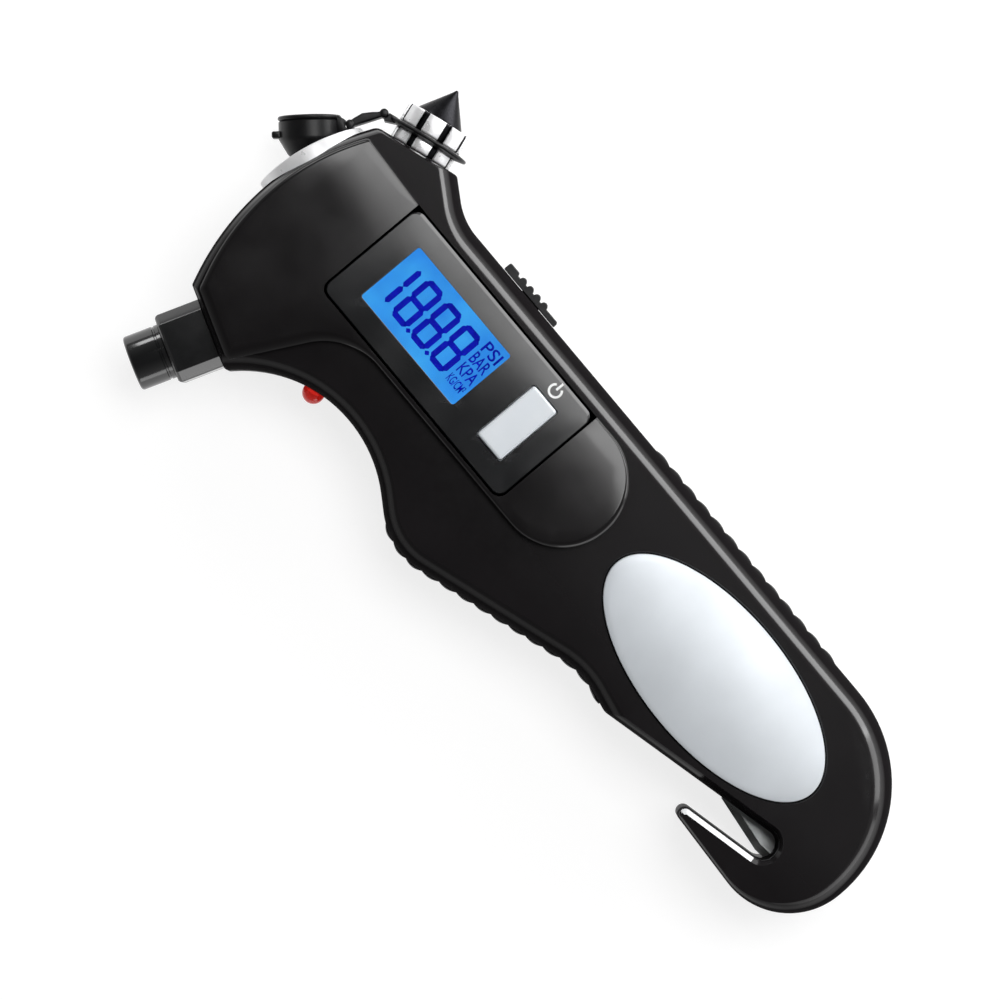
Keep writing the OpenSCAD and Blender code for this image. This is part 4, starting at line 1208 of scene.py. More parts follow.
    def plateau(self) -> Piece:
        """Make the crowned plateau: an upright edge, an arc over it, and a top that drops to the sides.

        Returns:
            The piece.
        """
        turn = np.linspace(self.rim_start, np.pi / 2, 8)
        insets = 1 - np.cos(turn) / math.cos(self.rim_start)
        drops = self.rim_drop * (1 - np.sin(turn)) / (1 - math.sin(self.rim_start))
        rings = []
        for share, z in [(0.0, FACE_Z - self.plateau_root), *zip(insets, self.plateau_top - drops)]:
            flat = ring_of(self.plateau_corners, self.plateau_soft * share, self.arc_steps)
            rings.append(at_height(flat, z - self.sag(flat) * (z > FACE_Z)))
        raised = stacked("plateau", rings, roof=lambda p: self.plateau_top - self.sag(p))
        (x0, y0), (x1, y1) = Display.low, Display.high
        floor, above = self.panel_seat
        low = (x0 - self.panel_gap, y0 - self.panel_gap, floor)
        high = (x1 + self.panel_open, y1 + self.panel_gap, above)
        return carve(raised, [block("panel_seat", low, high, self.panel_fillet), self.display_way()])

    def rear(self) -> Piece:
        """Make the rear half: rounded back edge, seats for the door and the screws.

        Returns:
            The piece.
        """
        rings = [self.case_ring(self.back_share * self.back_land, 0.0)]
        rings += [self.case_ring(self.back_share * (1 - np.cos(a)), self.back_round * (1 - np.sin(a)))
                  for a in quarter(13)[::-1]]
        rings += [self.case_ring(0.0, SEAM_Z - self.seam_groove), self.groove_ring()]
        half = stacked("casing_rear", rings)
        gap, below, bay_fillet = 0.2, -1.0, 1.0
        low, high = grown(BackFasteners.door_low, BackFasteners.door_high, gap)
        top = BackFasteners.door_thick + gap / 4
        tools = [self.hollow(self.rear_hollow),
                 block("door_seat", (*low, below), (*high, top), BackFasteners.door_fillet),
                 block("bay_way", self.bay_low, self.bay_high, bay_fillet)]
        tools += [stacked("head_seat", round_rings(spot, self.head_seat, 40))
                  for spot in BackFasteners.case_spots]
        return carve(half, tools + self.seam_tools())

    def grip(self, name: str, path: np.ndarray) -> Piece:
        """Make a ribbed strip.

        The section is a rounded band. Its outer side stands off by the size of a sine along the
        path, one hump per rib, which fades towards the band's upper and lower edges.

        Args:
            name: Name of the strip.
            path: Evenly spaced points along the casing's side.

        Returns:
            The strip.
        """
        rows, edge_fade, fade_power, hump_power = 15, 0.5, 6, 0.8
        share = np.linspace(-1, 1, rows)
        height = share * self.grip_height / 2
        crown = 1 - edge_fade * np.abs(share) ** fade_power
        ribs = np.abs(np.sin(np.pi * np.arange(len(path)) / self.rib_steps))[:, None] ** hump_power
        outer = np.stack([self.rib_rise * ribs * crown, np.broadcast_to(height, (len(path), rows))], axis=-1)
        back = np.array([[-self.grip_seat, height[-1]], [-self.grip_seat, height[0]]])
        section = np.concatenate([outer, np.broadcast_to(back, (len(path), *back.shape))], axis=1)
        return swept(name, path, section)

    def inlay(self) -> Piece:
        """Make the oval inlay: its rim is upright, rounded off, and its dome is a paraboloid.

        Returns:
            The piece.
        """
        rows, (a, b), count = list(self.inlay_rim), self.inlay_half, 144
        rows += [(self.inlay_dome_share * k, self.inlay_rim_top + self.inlay_dome * (1 - k * k))
                 for k in np.linspace(1.0, 0.0, 18)]
        rings = [at_height(oval_ring(self.inlay_at, (a * k, b * k), count), z) for k, z in rows]
        faces = grid_quads(len(rings), count) + [list(range(count))]
        return new_piece("silver_inlay", np.concatenate(rings), faces)

    def build(self) -> None:
        """Make and dress the casing's pieces."""
        front = self.front()
        show(front, "case_black", Body.CASING, "front_shell")
        # The chamfer by the belt slot gets a painted highlight.
        self.paint_slot_highlight(front)
        show(self.plateau(), "plateau_black", Body.CASING, "front_shell", slot="case_black")
        show(self.rear(), "case_black", Body.CASING, "rear_shell")
        show(self.grip("grip_fingers", self.finger_path()), "grip_rubber", Body.CASING, "finger_grip")
        show(self.grip("grip_palm", self.palm_path()), "grip_rubber", Body.CASING, "palm_grip")
        show(self.inlay(), "silver_plastic", Body.CASING, "handle_inlay")


@dataclass
class Display:
    """Bezel plate, segments and units on the glass, power symbol and the silver key."""

    low: Pair = (-2.75, 9.0)
    high: Pair = (22.05, 63.4)
    fillet: float = 2.0
    chamfer: tuple[float, ...] = (0.2, 0.6, 0.2, 0.2)
    chamfer_drop: float = 0.45
    under: float = 25.5
    top: float = 27.8
    window_low: Pair = (2.1, 28.9)
    window_high: Pair = (17.3, 57.3)
    opening_z: Pair = (24.0, 28.0)
    opening_flare: float = 0.3
    glass_top: float = 24.7
    ink: float = 0.05
    digit_low: float = 4.4
    digit_high: float = 15.1
    stroke: float = 1.25
    level_lap: float = 0.23
    upright_lap: float = 0.03
    digit_spans: Pairs = ((-51.4, -46.5), (-45.6, -40.7), (-39.8, -34.9))
    one_at: float = -53.4
    dots: tuple[float, ...] = (-46.05, -40.25)
    dot_half: float = 0.62
    dot_width: float = 0.5
    words: tuple[tuple[str, float, float], ...] = (
        ("PSI", 13.4, 2.7), ("BAR", 10.3, 2.7), ("KPA", 7.1, 2.7), ("KG/CM²", 4.4, 2.0))
    word_start: float = -34.0
    word_length: float = 4.4
    key_low: Pair = (2.2, 14.5)
    key_high: Pair = (17.1, 21.5)
    key_foot: float = 25.0
    key_top: float = 28.6
    key_fillet: float = 0.6
    key_soft: float = 0.45
    key_gap: float = 0.25
    flange: float = 0.8
    flange_z: Pair = (24.65, 25.25)
    power_at: Pair = (19.6, 18.0)

    def bezel(self) -> Piece:
        """Make the bezel plate, crowned like the plateau, with chamfered openings for window and key.

        Returns:
            The piece.
        """
        corners, edge = box_corners(self.low, self.high, self.fillet), np.array(self.chamfer)
        rings = []
        for share, z in ((0.0, self.under), (0.0, self.top - self.chamfer_drop), (1.0, self.top)):
            flat = ring_of(corners, edge * share, 8)
            rings.append(at_height(flat, z - Casing.sag(flat) * (z > self.under)))
        plate = stacked("bezel_plate", rings, SOFT_CREASE, roof=lambda p: self.top - Casing.sag(p))
        window = self.opening("window_way", (self.window_low, self.window_high))
        key = self.opening("key_way", grown(self.key_low, self.key_high, self.key_gap))
        return carve(plate, [window, key], crease=SOFT_CREASE)

    def opening(self, name: str, span: Pairs) -> Piece:
        """Return a cutter for an opening in the plate, which flares out at its upper end."""
        (low, high), (foot, head) = span, self.opening_z
        return block(name, (*low, foot), (*high, head), self.key_fillet, flare=self.opening_flare)

    def inked(self, name: str, shapes: np.ndarray, z: float, crowned: bool = False) -> Piece:
        """Make thin prisms from plane outlines of equal counts.

        Each outline is repeated at the foot and at the head of the ink, and the two are joined by
        a wall of quads.

        Args:
            name: Name of the print.
            shapes: Outlines of shape (k, n, 2).
            z: Height of the surface that is printed on.
            crowned: Whether the surface drops like the plateau.

        Returns:
            The print.
        """
        k, n, _ = shapes.shape
        heights = np.array([z, z + self.ink])
        flat = np.repeat(shapes[:, None], 2, axis=1)
        up = np.broadcast_to(heights[None, :, None, None], (k, 2, n, 1))
        points = np.concatenate([flat, up], axis=-1).reshape(-1, 3)
        if crowned:
            points[:, 2] -= Casing.sag(points)
        first = np.arange(k)[:, None] * 2 * n
        i = np.arange(n)[None, :]
        j = (i + 1) % n
        walls = np.stack([first + i, first + j, first + n + j, first + n + i], axis=-1).reshape(-1, 4)
        caps = np.concatenate([first + i, first + n + i])
        return new_piece(name, points, walls.tolist() + caps.tolist())

    def segments(self) -> np.ndarray:
        """Work out the lit segments as pointed bars.

        A bar of half length a and half width h is the hexagon with tips at plus and minus a and
        shoulders h short of them. Reading runs towards minus Y and letters stand towards plus X.

        Returns:
            Outlines of shape (k, 6, 2) in the plane of the glass.
        """
        h = self.stroke / 2
        low, high = self.digit_low + h, self.digit_high - h
        middle, reach = (low + high) / 2, (high - low) / 4 + self.upright_lap
        level, stems = [], []
        for start, end in self.digit_spans:
            half = (end - start) / 2 - h + self.level_lap
            level += [((start + end) / 2, v, half) for v in (low, middle, high)]
            stems += [start + h, end - h]
        level += [(u, self.digit_low + self.dot_width, self.dot_half) for u in self.dots]
        upright = [(u, (v + middle) / 2, reach) for u in (*stems, self.one_at) for v in (low, high)]
        bars = np.array(level + upright)
        turned = np.arange(len(bars)) >= len(level)
        a = bars[:, 2:3]
        w = np.where(a > self.dot_half, h, self.dot_width)
        along = np.concatenate([-a, -a + w, a - w, a, a - w, -a + w], axis=1)
        across = w * np.array([0, 1, 1, 0, -1, -1.0])
        u = bars[:, 0:1] + np.where(turned[:, None], across, along)
        v = bars[:, 1:2] + np.where(turned[:, None], along, across)
        return np.stack([v, -u], axis=-1)

    def word(self, text: str, x: float, height: float) -> Piece:
        """Make a unit's name as flat lettering on the glass, fitted to its length.

        Args:
            text: The unit's name.
            x: Place of the letters' feet.
            height: Height of the letters.

        Returns:
            The lettering.
        """
        thick, bold, steps = 0.01, 0.012, 4
        curve = bpy.data.curves.new("unit", "FONT")
        curve.body, curve.size, curve.extrude = text, 1.0, thick
        curve.offset, curve.resolution_u = bold, steps
        holder = bpy.data.objects.new("unit", curve)
        bpy.context.scene.collection.objects.link(holder)
        seen = holder.evaluated_get(bpy.context.evaluated_depsgraph_get())
        mesh = bpy.data.meshes.new_from_object(seen)
        bpy.data.objects.remove(holder)
        bpy.data.curves.remove(curve)
        flat = np.zeros(len(mesh.vertices) * 3)
        mesh.vertices.foreach_get("co", flat)
        flat = flat.reshape(-1, 3)
        low, high = flat.min(0), flat.max(0)
        share = (flat - low) / (high - low)
        along = self.word_start + share[:, 0] * self.word_length
        up = self.glass_top + share[:, 2] * self.ink
        points = np.stack([x + share[:, 1] * height, -along, up], axis=-1)
        faces = [list(p.vertices) for p in mesh.polygons]
        bpy.data.meshes.remove(mesh)
        plain = "".join(c for c in text.lower() if c.isascii() and c.isalnum())
        return new_piece(f"unit_{plain}", points, faces)

    def power_sign(self) -> Piece:
        """Make the power symbol: an open ring and a bar in its gap, drawn as flat bands.

        Returns:
            The piece.
        """
        radius, half, gap, n = 1.3, 0.24, math.radians(38), 40
        bar_foot, bar_head, sunk = 0.25, 2.1, 0.01
        a = np.linspace(gap, 2 * np.pi - gap, n)
        spoke = np.stack([np.cos(a), np.sin(a)], axis=-1)
        ring = np.concatenate([spoke * (radius + half), spoke[::-1] * (radius - half)])
        x = np.concatenate([np.linspace(bar_foot, bar_head, n), np.linspace(bar_head, bar_foot, n)])
        y = np.repeat([-half, half], n)
        shapes = np.stack([ring, np.stack([x, y], axis=-1)]) + np.array(self.power_at)
        return self.inked("power_sign", shapes, self.top - sunk, crowned=True)

    def key(self) -> Piece:
        """Make the silver key: soft upper edges over a flange that keeps it in the plate.

        Returns:
            The piece.
        """
        cap = block("silver_key", (*self.key_low, self.key_foot), (*self.key_high, self.key_top),
                    self.key_fillet, soft=self.key_soft)
        (low, high), (foot, head) = grown(self.key_low, self.key_high, self.flange), self.flange_z
        return carve(cap, [plain_block("flange", (*low, foot), (*high, head))], join=True)

    def build(self) -> None:
        """Make and dress the display's pieces."""
        show(self.bezel(), "panel_grey", Body.CASING, "display_panel")
        digits = self.inked("lcd_segments", self.segments(), self.glass_top)
        show(digits, "ink_navy", Body.CASING, slot="lcd")
        for text, x, height in self.words:
            show(self.word(text, x, height), "ink_navy", Body.CASING, slot="lcd")
        show(self.power_sign(), "ink_white", Body.CASING, slot="panel_grey")
        show(self.key(), "silver_plastic", Body.BUTTON, "power_button")


@dataclass
class ValveChuck:
    """Eight-sided collar and round nose that goes over the tire valve."""

    half: float = 7.2
    cut: float = 2.2
    fillet: float = 0.5
    facet_crease: float = math.radians(24)
    collar_length: float = 9.4
    collar_end: Pairs = ((0.0, 0.7), (0.18, 0.3), (0.55, 0.0))
    spigot_length: float = 4.0
    spigot_radius: float = 4.75
    nose_end: float = 17.1
    nose_radius: float = 5.7
    lip: float = 0.6
    groove: Pairs = ((1.0, 0.0), (1.15, 0.15), (1.45, 0.15), (1.6, 0.0))
    bore: float = 4.1
    seal_seat: Pairs = ((0.5, 3.8), (1.9, 3.8))
    throat: float = 1.6

    def collar(self) -> Piece:
        """Make the collar: an eight-sided outline carried along the axis, chamfered and bored at its end.

        Returns:
            The piece.
        """
        h, k = self.half, self.half - self.cut
        corners = np.array([[-k, -h], [k, -h], [h, -k], [h, k], [k, h], [-k, h], [-h, k], [-h, -k]])
        corners = np.column_stack([corners, np.full(len(corners), self.fillet)])
        end, gap, past = self.collar_length, 0.1, 2.0
        rows = [(0.0, 0.0), *((inset, end - back) for inset, back in self.collar_end)]
        rings = [CHUCK.place(at_height(ring_of(corners, inset, 6), s)) for inset, s in rows]
        bore = CHUCK.bore("collar_bore", end - self.spigot_length, end + past, self.spigot_radius + gap)
        return carve(stacked("collar", rings), [bore], crease=self.facet_crease)

    def nose(self) -> Piece:
        """Make the nose: a turned tube with a rounded lip, a groove and a counterbored mouth.

        Returns:
            The piece.
        """
        r, end, foot, soft, sink = self.nose_radius, self.nose_end, self.collar_length, 0.25, 0.35
        root, seal_end = foot - self.spigot_length, foot - self.seal_seat[-1][0]
        groove = [(foot + along, r - deep) for along, deep in self.groove]
        lip = [(end - self.lip * (1 - np.sin(a)), r - self.lip * (1 - np.cos(a))) for a in quarter(6)]
        seat = [(foot - back, radius) for back, radius in self.seal_seat]
        profile = [(root, self.spigot_radius), (foot, self.spigot_radius), (foot, r - soft), (foot + soft, r),
                   *groove, *lip, (end, self.bore + sink), (end - sink, self.bore), (seat[0][0], self.bore),
                   *seat, (seal_end, self.throat), (root, self.throat)]
        return CHUCK.turned("nose", profile, True, count=128)

    def build(self) -> None:
        """Make and dress the chuck's pieces."""
        show(self.collar(), "chuck_plastic", Body.CASING, "chuck_collar")
        show(self.nose(), "chuck_plastic", Body.CASING, "chuck_tip")


@dataclass
class Torch:
    """Bezel of the torch window, the slider on the palm side and the red flasher lamp."""

    rim: float = 11.4
    bore: float = 9.8
    rim_soft: Pairs = ((0.0, 0.35), (0.12, 0.1), (0.4, 0.0))
    bore_soft: Pairs = ((0.45, 0.0), (0.14, 0.1), (0.0, 0.4))
    ring_foot: float = -1.5
    ledge: float = 0.8
    crown_at: Pair = (1.8, 31.0)
    crown_radius: float = 57.3
    slider_at: Pair = (27.85, 28.2)
    slider_length: float = 15.3
    slider_height: float = 7.0
    slider_soft: float = 0.4
    edge_share: float = 0.86
    edge_drop: float = 0.196
    plate_thick: float = 1.1
    stop_thick: float = 1.7
    stop_length: float = 2.8
    stop_blend: float = 0.06
    rib_radius: float = 0.8
    rib_first: float = 4.4
    rib_pitch: float = 2.15
    rib_count: int = 4
    stem: tuple[Triple, ...] = ((23.6, 32.8, 11.5), (27.95, 37.8, 14.5))
    lamp_radius: float = 2.3
    lamp_rise: float = 0.2
    lamp_foot: Pairs = ((-3.7, 0.0), (-3.7, 2.85), (-2.75, 2.85))

    def bezel(self) -> Piece:
        """Make the bezel: a turned ring whose rim follows the crown of the head.

        A rim point lies where the ring meets the crown's arc, at the arc's centre plus the root of
        its radius squared less the point's offset squared.

        Returns:
            The bezel.
        """
        rim, bore, ledge = self.rim, self.bore, self.bore - self.ledge
        crowned = [(rim - inset, drop) for inset, drop in self.rim_soft]
        crowned += [(bore + inset, drop) for inset, drop in self.bore_soft]
        turn = np.linspace(0, 2 * np.pi, 128, endpoint=False)
        rows = [(rim, self.ring_foot)]
        for radius, drop in crowned:
            aside = TORCH.x - radius * np.sin(turn) - self.crown_at[0]
            arc = self.crown_at[1] + np.sqrt(self.crown_radius ** 2 - aside ** 2)
            rows.append((radius, arc - TORCH.y - drop))
        rows += [(bore, 0.0), (ledge, 0.0), (ledge, self.ring_foot)]
        rings = [np.column_stack([radius * np.cos(turn), radius * np.sin(turn), station + 0 * turn])
                 for radius, station in rows]
        points = TORCH.place(np.concatenate(rings))
        return new_piece("torch_ring", points, grid_quads(len(rings), len(turn), True))

    def slider(self) -> Piece:
        """Make the slider: a band along the palm side with four round ribs and a stop at its end.

        Returns:
            The piece.
        """
        n, rows = 241, 17
        y = np.linspace(0, self.slider_length, n)
        off = y[:, None] - (self.rib_first + self.rib_pitch * np.arange(self.rib_count))
        rib = np.sqrt(np.maximum(0.0, self.rib_radius ** 2 - off ** 2)).max(1)
        stop_from = self.slider_length - self.stop_length
        stop = (self.stop_thick - self.plate_thick) / (1 + np.exp(-(y - stop_from) / self.stop_blend))
        ends = np.minimum(1.0, np.minimum(y, self.slider_length - y) / self.slider_soft)
        ease = self.slider_soft * (1 - np.sqrt(1 - (1 - ends) ** 2))
        reach = self.plate_thick + np.maximum(rib, stop) - ease
        share = np.linspace(-1, 1, rows)
        edge = np.maximum(0, np.abs(share) - self.edge_share) / (1 - self.edge_share)
        height = share * self.slider_height / 2
        out = reach[:, None] - self.edge_drop * edge ** 2
        outer = np.stack([out, np.broadcast_to(height, out.shape)], axis=-1)
        back = np.array([[0.0, height[-1]], [0.0, height[0]]])
        section = np.concatenate([outer, np.broadcast_to(back, (n, *back.shape))], axis=1)
        x0, y0 = self.slider_at
        path = np.column_stack([np.full(n, x0), y0 + y, np.full(n, SEAM_Z)])
        return carve(swept("slider_knob", path, section), [plain_block("stem", *self.stem)], join=True)

    def lamp(self) -> Piece:
        """Make the flasher lamp: a turned dome, its height the sine and its radius the cosine.

        Returns:
            The piece.
        """
        r = self.lamp_radius
        dome = [(self.lamp_rise + r * np.sin(a), r * np.cos(a)) for a in quarter(16)]
        shoulder = (self.lamp_foot[-1][0], r)
        return FLASHER.turned("red_lamp_dome", [*self.lamp_foot, shoulder, *dome], False, count=72)

    def build(self) -> None:
        """Make and dress the torch's pieces."""
        show(self.bezel(), "torch_chrome", Body.CASING, "torch_bezel")
        show(self.slider(), "switch_black", Body.SLIDER, "torch_switch_knob")
        show(self.lamp(), "red_lamp", Body.CASING, "flasher_led")


KNUCKLE_BORE = 1.02
KNUCKLE_REACH = 1.55
KNUCKLE_HALF = 2.85


def knuckle_bar(name: str, root: Sequence[Pair], bead: Pair, wrap: Pair) -> Piece:
    """Make a bar across the hammer whose end is hollowed round one of the strap's beads.

    Lip points lie on circles about the bead, an angle away from the side that faces the hammer.

    Args:
        name: Name of the bar.
        root: Points of left and along where the bar starts, the lower one first.
        bead: The bead's place of left and along.
        wrap: Angles of the lower and the upper lip in degrees.

    Returns:
        The bar.
    """
    def lip(radius: float, angles: np.ndarray) -> np.ndarray:
        """Return points on a circle about the bead, the angle zero towards the hammer."""
        turn = np.radians(angles)
        return np.array(bead) + radius * np.stack([-np.cos(turn), np.sin(turn)], axis=-1)

    (low, high), last_back, back_step, fillet, steps = wrap, 44.0, -15.0, 0.02, 2
    hollow = lip(KNUCKLE_BORE, np.linspace(low, high, 12))
    back = np.arange(high, last_back, back_step)
    outline = np.concatenate([[root[0]], lip(KNUCKLE_REACH, np.array([low])), hollow,
                              lip(KNUCKLE_REACH, back), [root[1]]])
    corners = np.column_stack([outline, np.full(len(outline), fillet)])
    return across_hammer(name, corners, KNUCKLE_HALF, ((0.1, 0.0), (0.0, 0.1)), steps)


def across_hammer(name: str, corners: np.ndarray, half: float, ends: Sequence[Pair], steps: int) -> Piece:
    """Make a bar of one section in the plane of left and along, with soft ends up and down.

    Args:
        name: Name of the bar.
        corners: Rows of left, along and fillet radius, counter-clockwise.
        half: Half of the bar's height.
        ends: Inset of the section at depths below each end, the end itself first.
        steps: Chords per fillet.

    Returns:
        The bar.
    """
    rows = [(inset, deep - half) for inset, deep in ends]
    rows += [(inset, half - deep) for inset, deep in reversed(ends)]
    rings = []
    for inset, down in rows:
        flat = ring_of(corners, inset, steps)
        rings.append(HAMMER.place(np.column_stack([np.full(len(flat), down), flat])))
    return stacked(name, rings)


@dataclass
class Hammer:
    """Fluted chrome foot and nut with the black cone, and the rubber ring of the cap."""

    foot_end: float = 2.55
    ring_end: float = 3.85
    nut_end: float = 7.85
    point_end: float = 14.85
    foot_radius: float = 6.8
    ring_radius: float = 9.0
    nut_radius: float = 7.0
    cone_radius: float = 5.0
    collar: Pairs = ((0.0, 0.15), (0.15, 0.0), (0.5, 0.1))
    tip: Pairs = ((0.9, 0.75), (0.35, 0.42), (0.08, 0.24), (0.0, 0.0))
    stud: float = 2.5
    rim_half: float = 0.35
    knuckle: Pairs = ((7.2, 2.6), (7.2, 3.8))
    knuckle_bead: Pair = (10.15, 3.2)
    knuckle_wrap: Pair = (-60.0, 33.0)
    root: Pairs = ((-8.0, 3.0), (-4.1, 3.0), (-4.1, 5.0), (-2.1, 5.0), (-2.1, 3.0), (0.0, 3.0))
    slots: int = 8
    slot_width: float = 1.4
    slot_depth: float = 0.9
    slot_fade: float = 0.16
    slot_reach: float = 1.2

    def flutes(self, radius: float) -> Callable[[np.ndarray, np.ndarray], np.ndarray]:
        """Return the relief of evenly spaced slots with steep sides.

        The depth is full where the arc to the nearest slot's middle is under half a width, and it
        fades over a short run. Rows near the axis keep their radius.

        Args:
            radius: Radius that the slots are cut into.

        Returns:
            Depth as a function of profile radius and turn.
        """
        def depth(reach: np.ndarray, turn: np.ndarray) -> np.ndarray:
            """Return the depth of the slots at each radius and turn.

            Args:
                reach: Radii.
                turn: Angles.

            Returns:
                The depths.
            """
            pitch = 2 * np.pi / self.slots
            aside = np.abs(turn % pitch - pitch / 2) * radius
            within = np.clip((self.slot_width / 2 - aside) / self.slot_fade + 0.5, 0, 1)
            return np.where(reach > radius - self.slot_reach, within * self.slot_depth, 0.0)
        return depth

    def fluted(self, name: str, start: float, end: float, radius: float,
               root: Sequence[Pair] = ()) -> Piece:
        """Turn a fluted ring with rounded edges between two stations of the axis.

        Args:
            name: Name of the piece.
            start: Lower station.
            end: Upper station.
            radius: Radius over the flutes.
            root: Station and radius of the points of a hidden root below the ring.

        Returns:
            The new object.
        """
        soft, shelf, foot = 0.4, 1.5, root[0][0] if root else start
        rounding = [(soft * (1 - np.sin(t)), radius - soft * (1 - np.cos(t))) for t in quarter(5)]
        low = [(start + inset, r) for inset, r in reversed(rounding)]
        high = [(end - inset, r) for inset, r in rounding]
        profile = [(foot, self.stud), *root, (start, radius - shelf), *low, *high,
                   (end, radius - shelf), (end, self.stud)]
        return HAMMER.turned(name, profile, True, self.flutes(radius), count=480)

    def shade_slot_floors(self, piece: Piece, start: float, end: float, radius: float) -> None:
        """Give the floors of the slots, which lie deep between the ring's faces, black as painted shade.

        Args:
            piece: The fluted ring.
            start: Lower station of the ring.
            end: Upper station of the ring.
            radius: Radius over the flutes.
        """
        mesh, edge, bite = piece.data, 0.05, 0.3
        centre = face_values(mesh, "center") / MM
        along, aside = HAMMER.stations(centre)
        reach = np.hypot(aside, centre[:, 2] - SEAM_Z)
        deep = between(along, (start + edge, end - edge))
        deep &= between(reach, (radius - self.slot_reach, radius - bite))
        # Black on the deep slot floors is painted shade.
        mesh.materials.append(SHELF.get("point_black"))
        mesh.polygons.foreach_set("material_index", deep.astype(np.int32))

    def washer(self) -> Piece:
        """Turn the cap's ring: a washer that thins to a round rim, with a knuckle for the strap.

        Returns:
            The piece.
        """
        r, low, high, rim = self.ring_radius, self.foot_end, self.ring_end, self.rim_half
        middle = (low + high) / 2
        edge = [(middle - rim * np.cos(t), r - rim + rim * np.sin(t)) for t in np.linspace(0, np.pi, 9)]
        flat, stud = self.nut_radius, self.stud
        profile = [(low, stud), (low, flat), *edge, (high, flat), (high, stud)]
        knuckle = knuckle_bar("knuckle", self.knuckle, self.knuckle_bead, self.knuckle_wrap)
        return carve(HAMMER.turned("ring_washer", profile, True), [knuckle], join=True)

    def cone(self) -> Piece:
        """Turn the black point on its stud: a short collar, a straight cone and a blunt tip.

        Returns:
            The piece.
        """
        start, end, r = self.nut_end, self.point_end, self.cone_radius
        foot, stud = -2.5, self.stud - 0.1
        collar = [(start + along, r - inset) for along, inset in self.collar]
        tip = [(end - back, radius) for back, radius in self.tip]
        profile = [(foot, 0), (foot, stud), (start, stud), *collar, *tip]
        return HAMMER.turned("black_cone", profile, False, count=120)

    def build(self) -> None:
        """Make and dress the hammer's pieces."""
        foot = self.fluted("fluted_foot", 0.0, self.foot_end, self.foot_radius, self.root)
        nut = self.fluted("fluted_nut", self.ring_end, self.nut_end, self.nut_radius)
        show(foot, "hammer_chrome", Body.CASING, "hammer_seat")
        show(nut, "hammer_chrome", Body.CASING, "hammer_nut")
        self.shade_slot_floors(foot, 0.0, self.foot_end, self.foot_radius)
        self.shade_slot_floors(nut, self.ring_end, self.nut_end, self.nut_radius)
        show(self.washer(), "cap_rubber", Body.CASING, "cap_ring")
        show(self.cone(), "point_black", Body.CASING, "hammer_point")


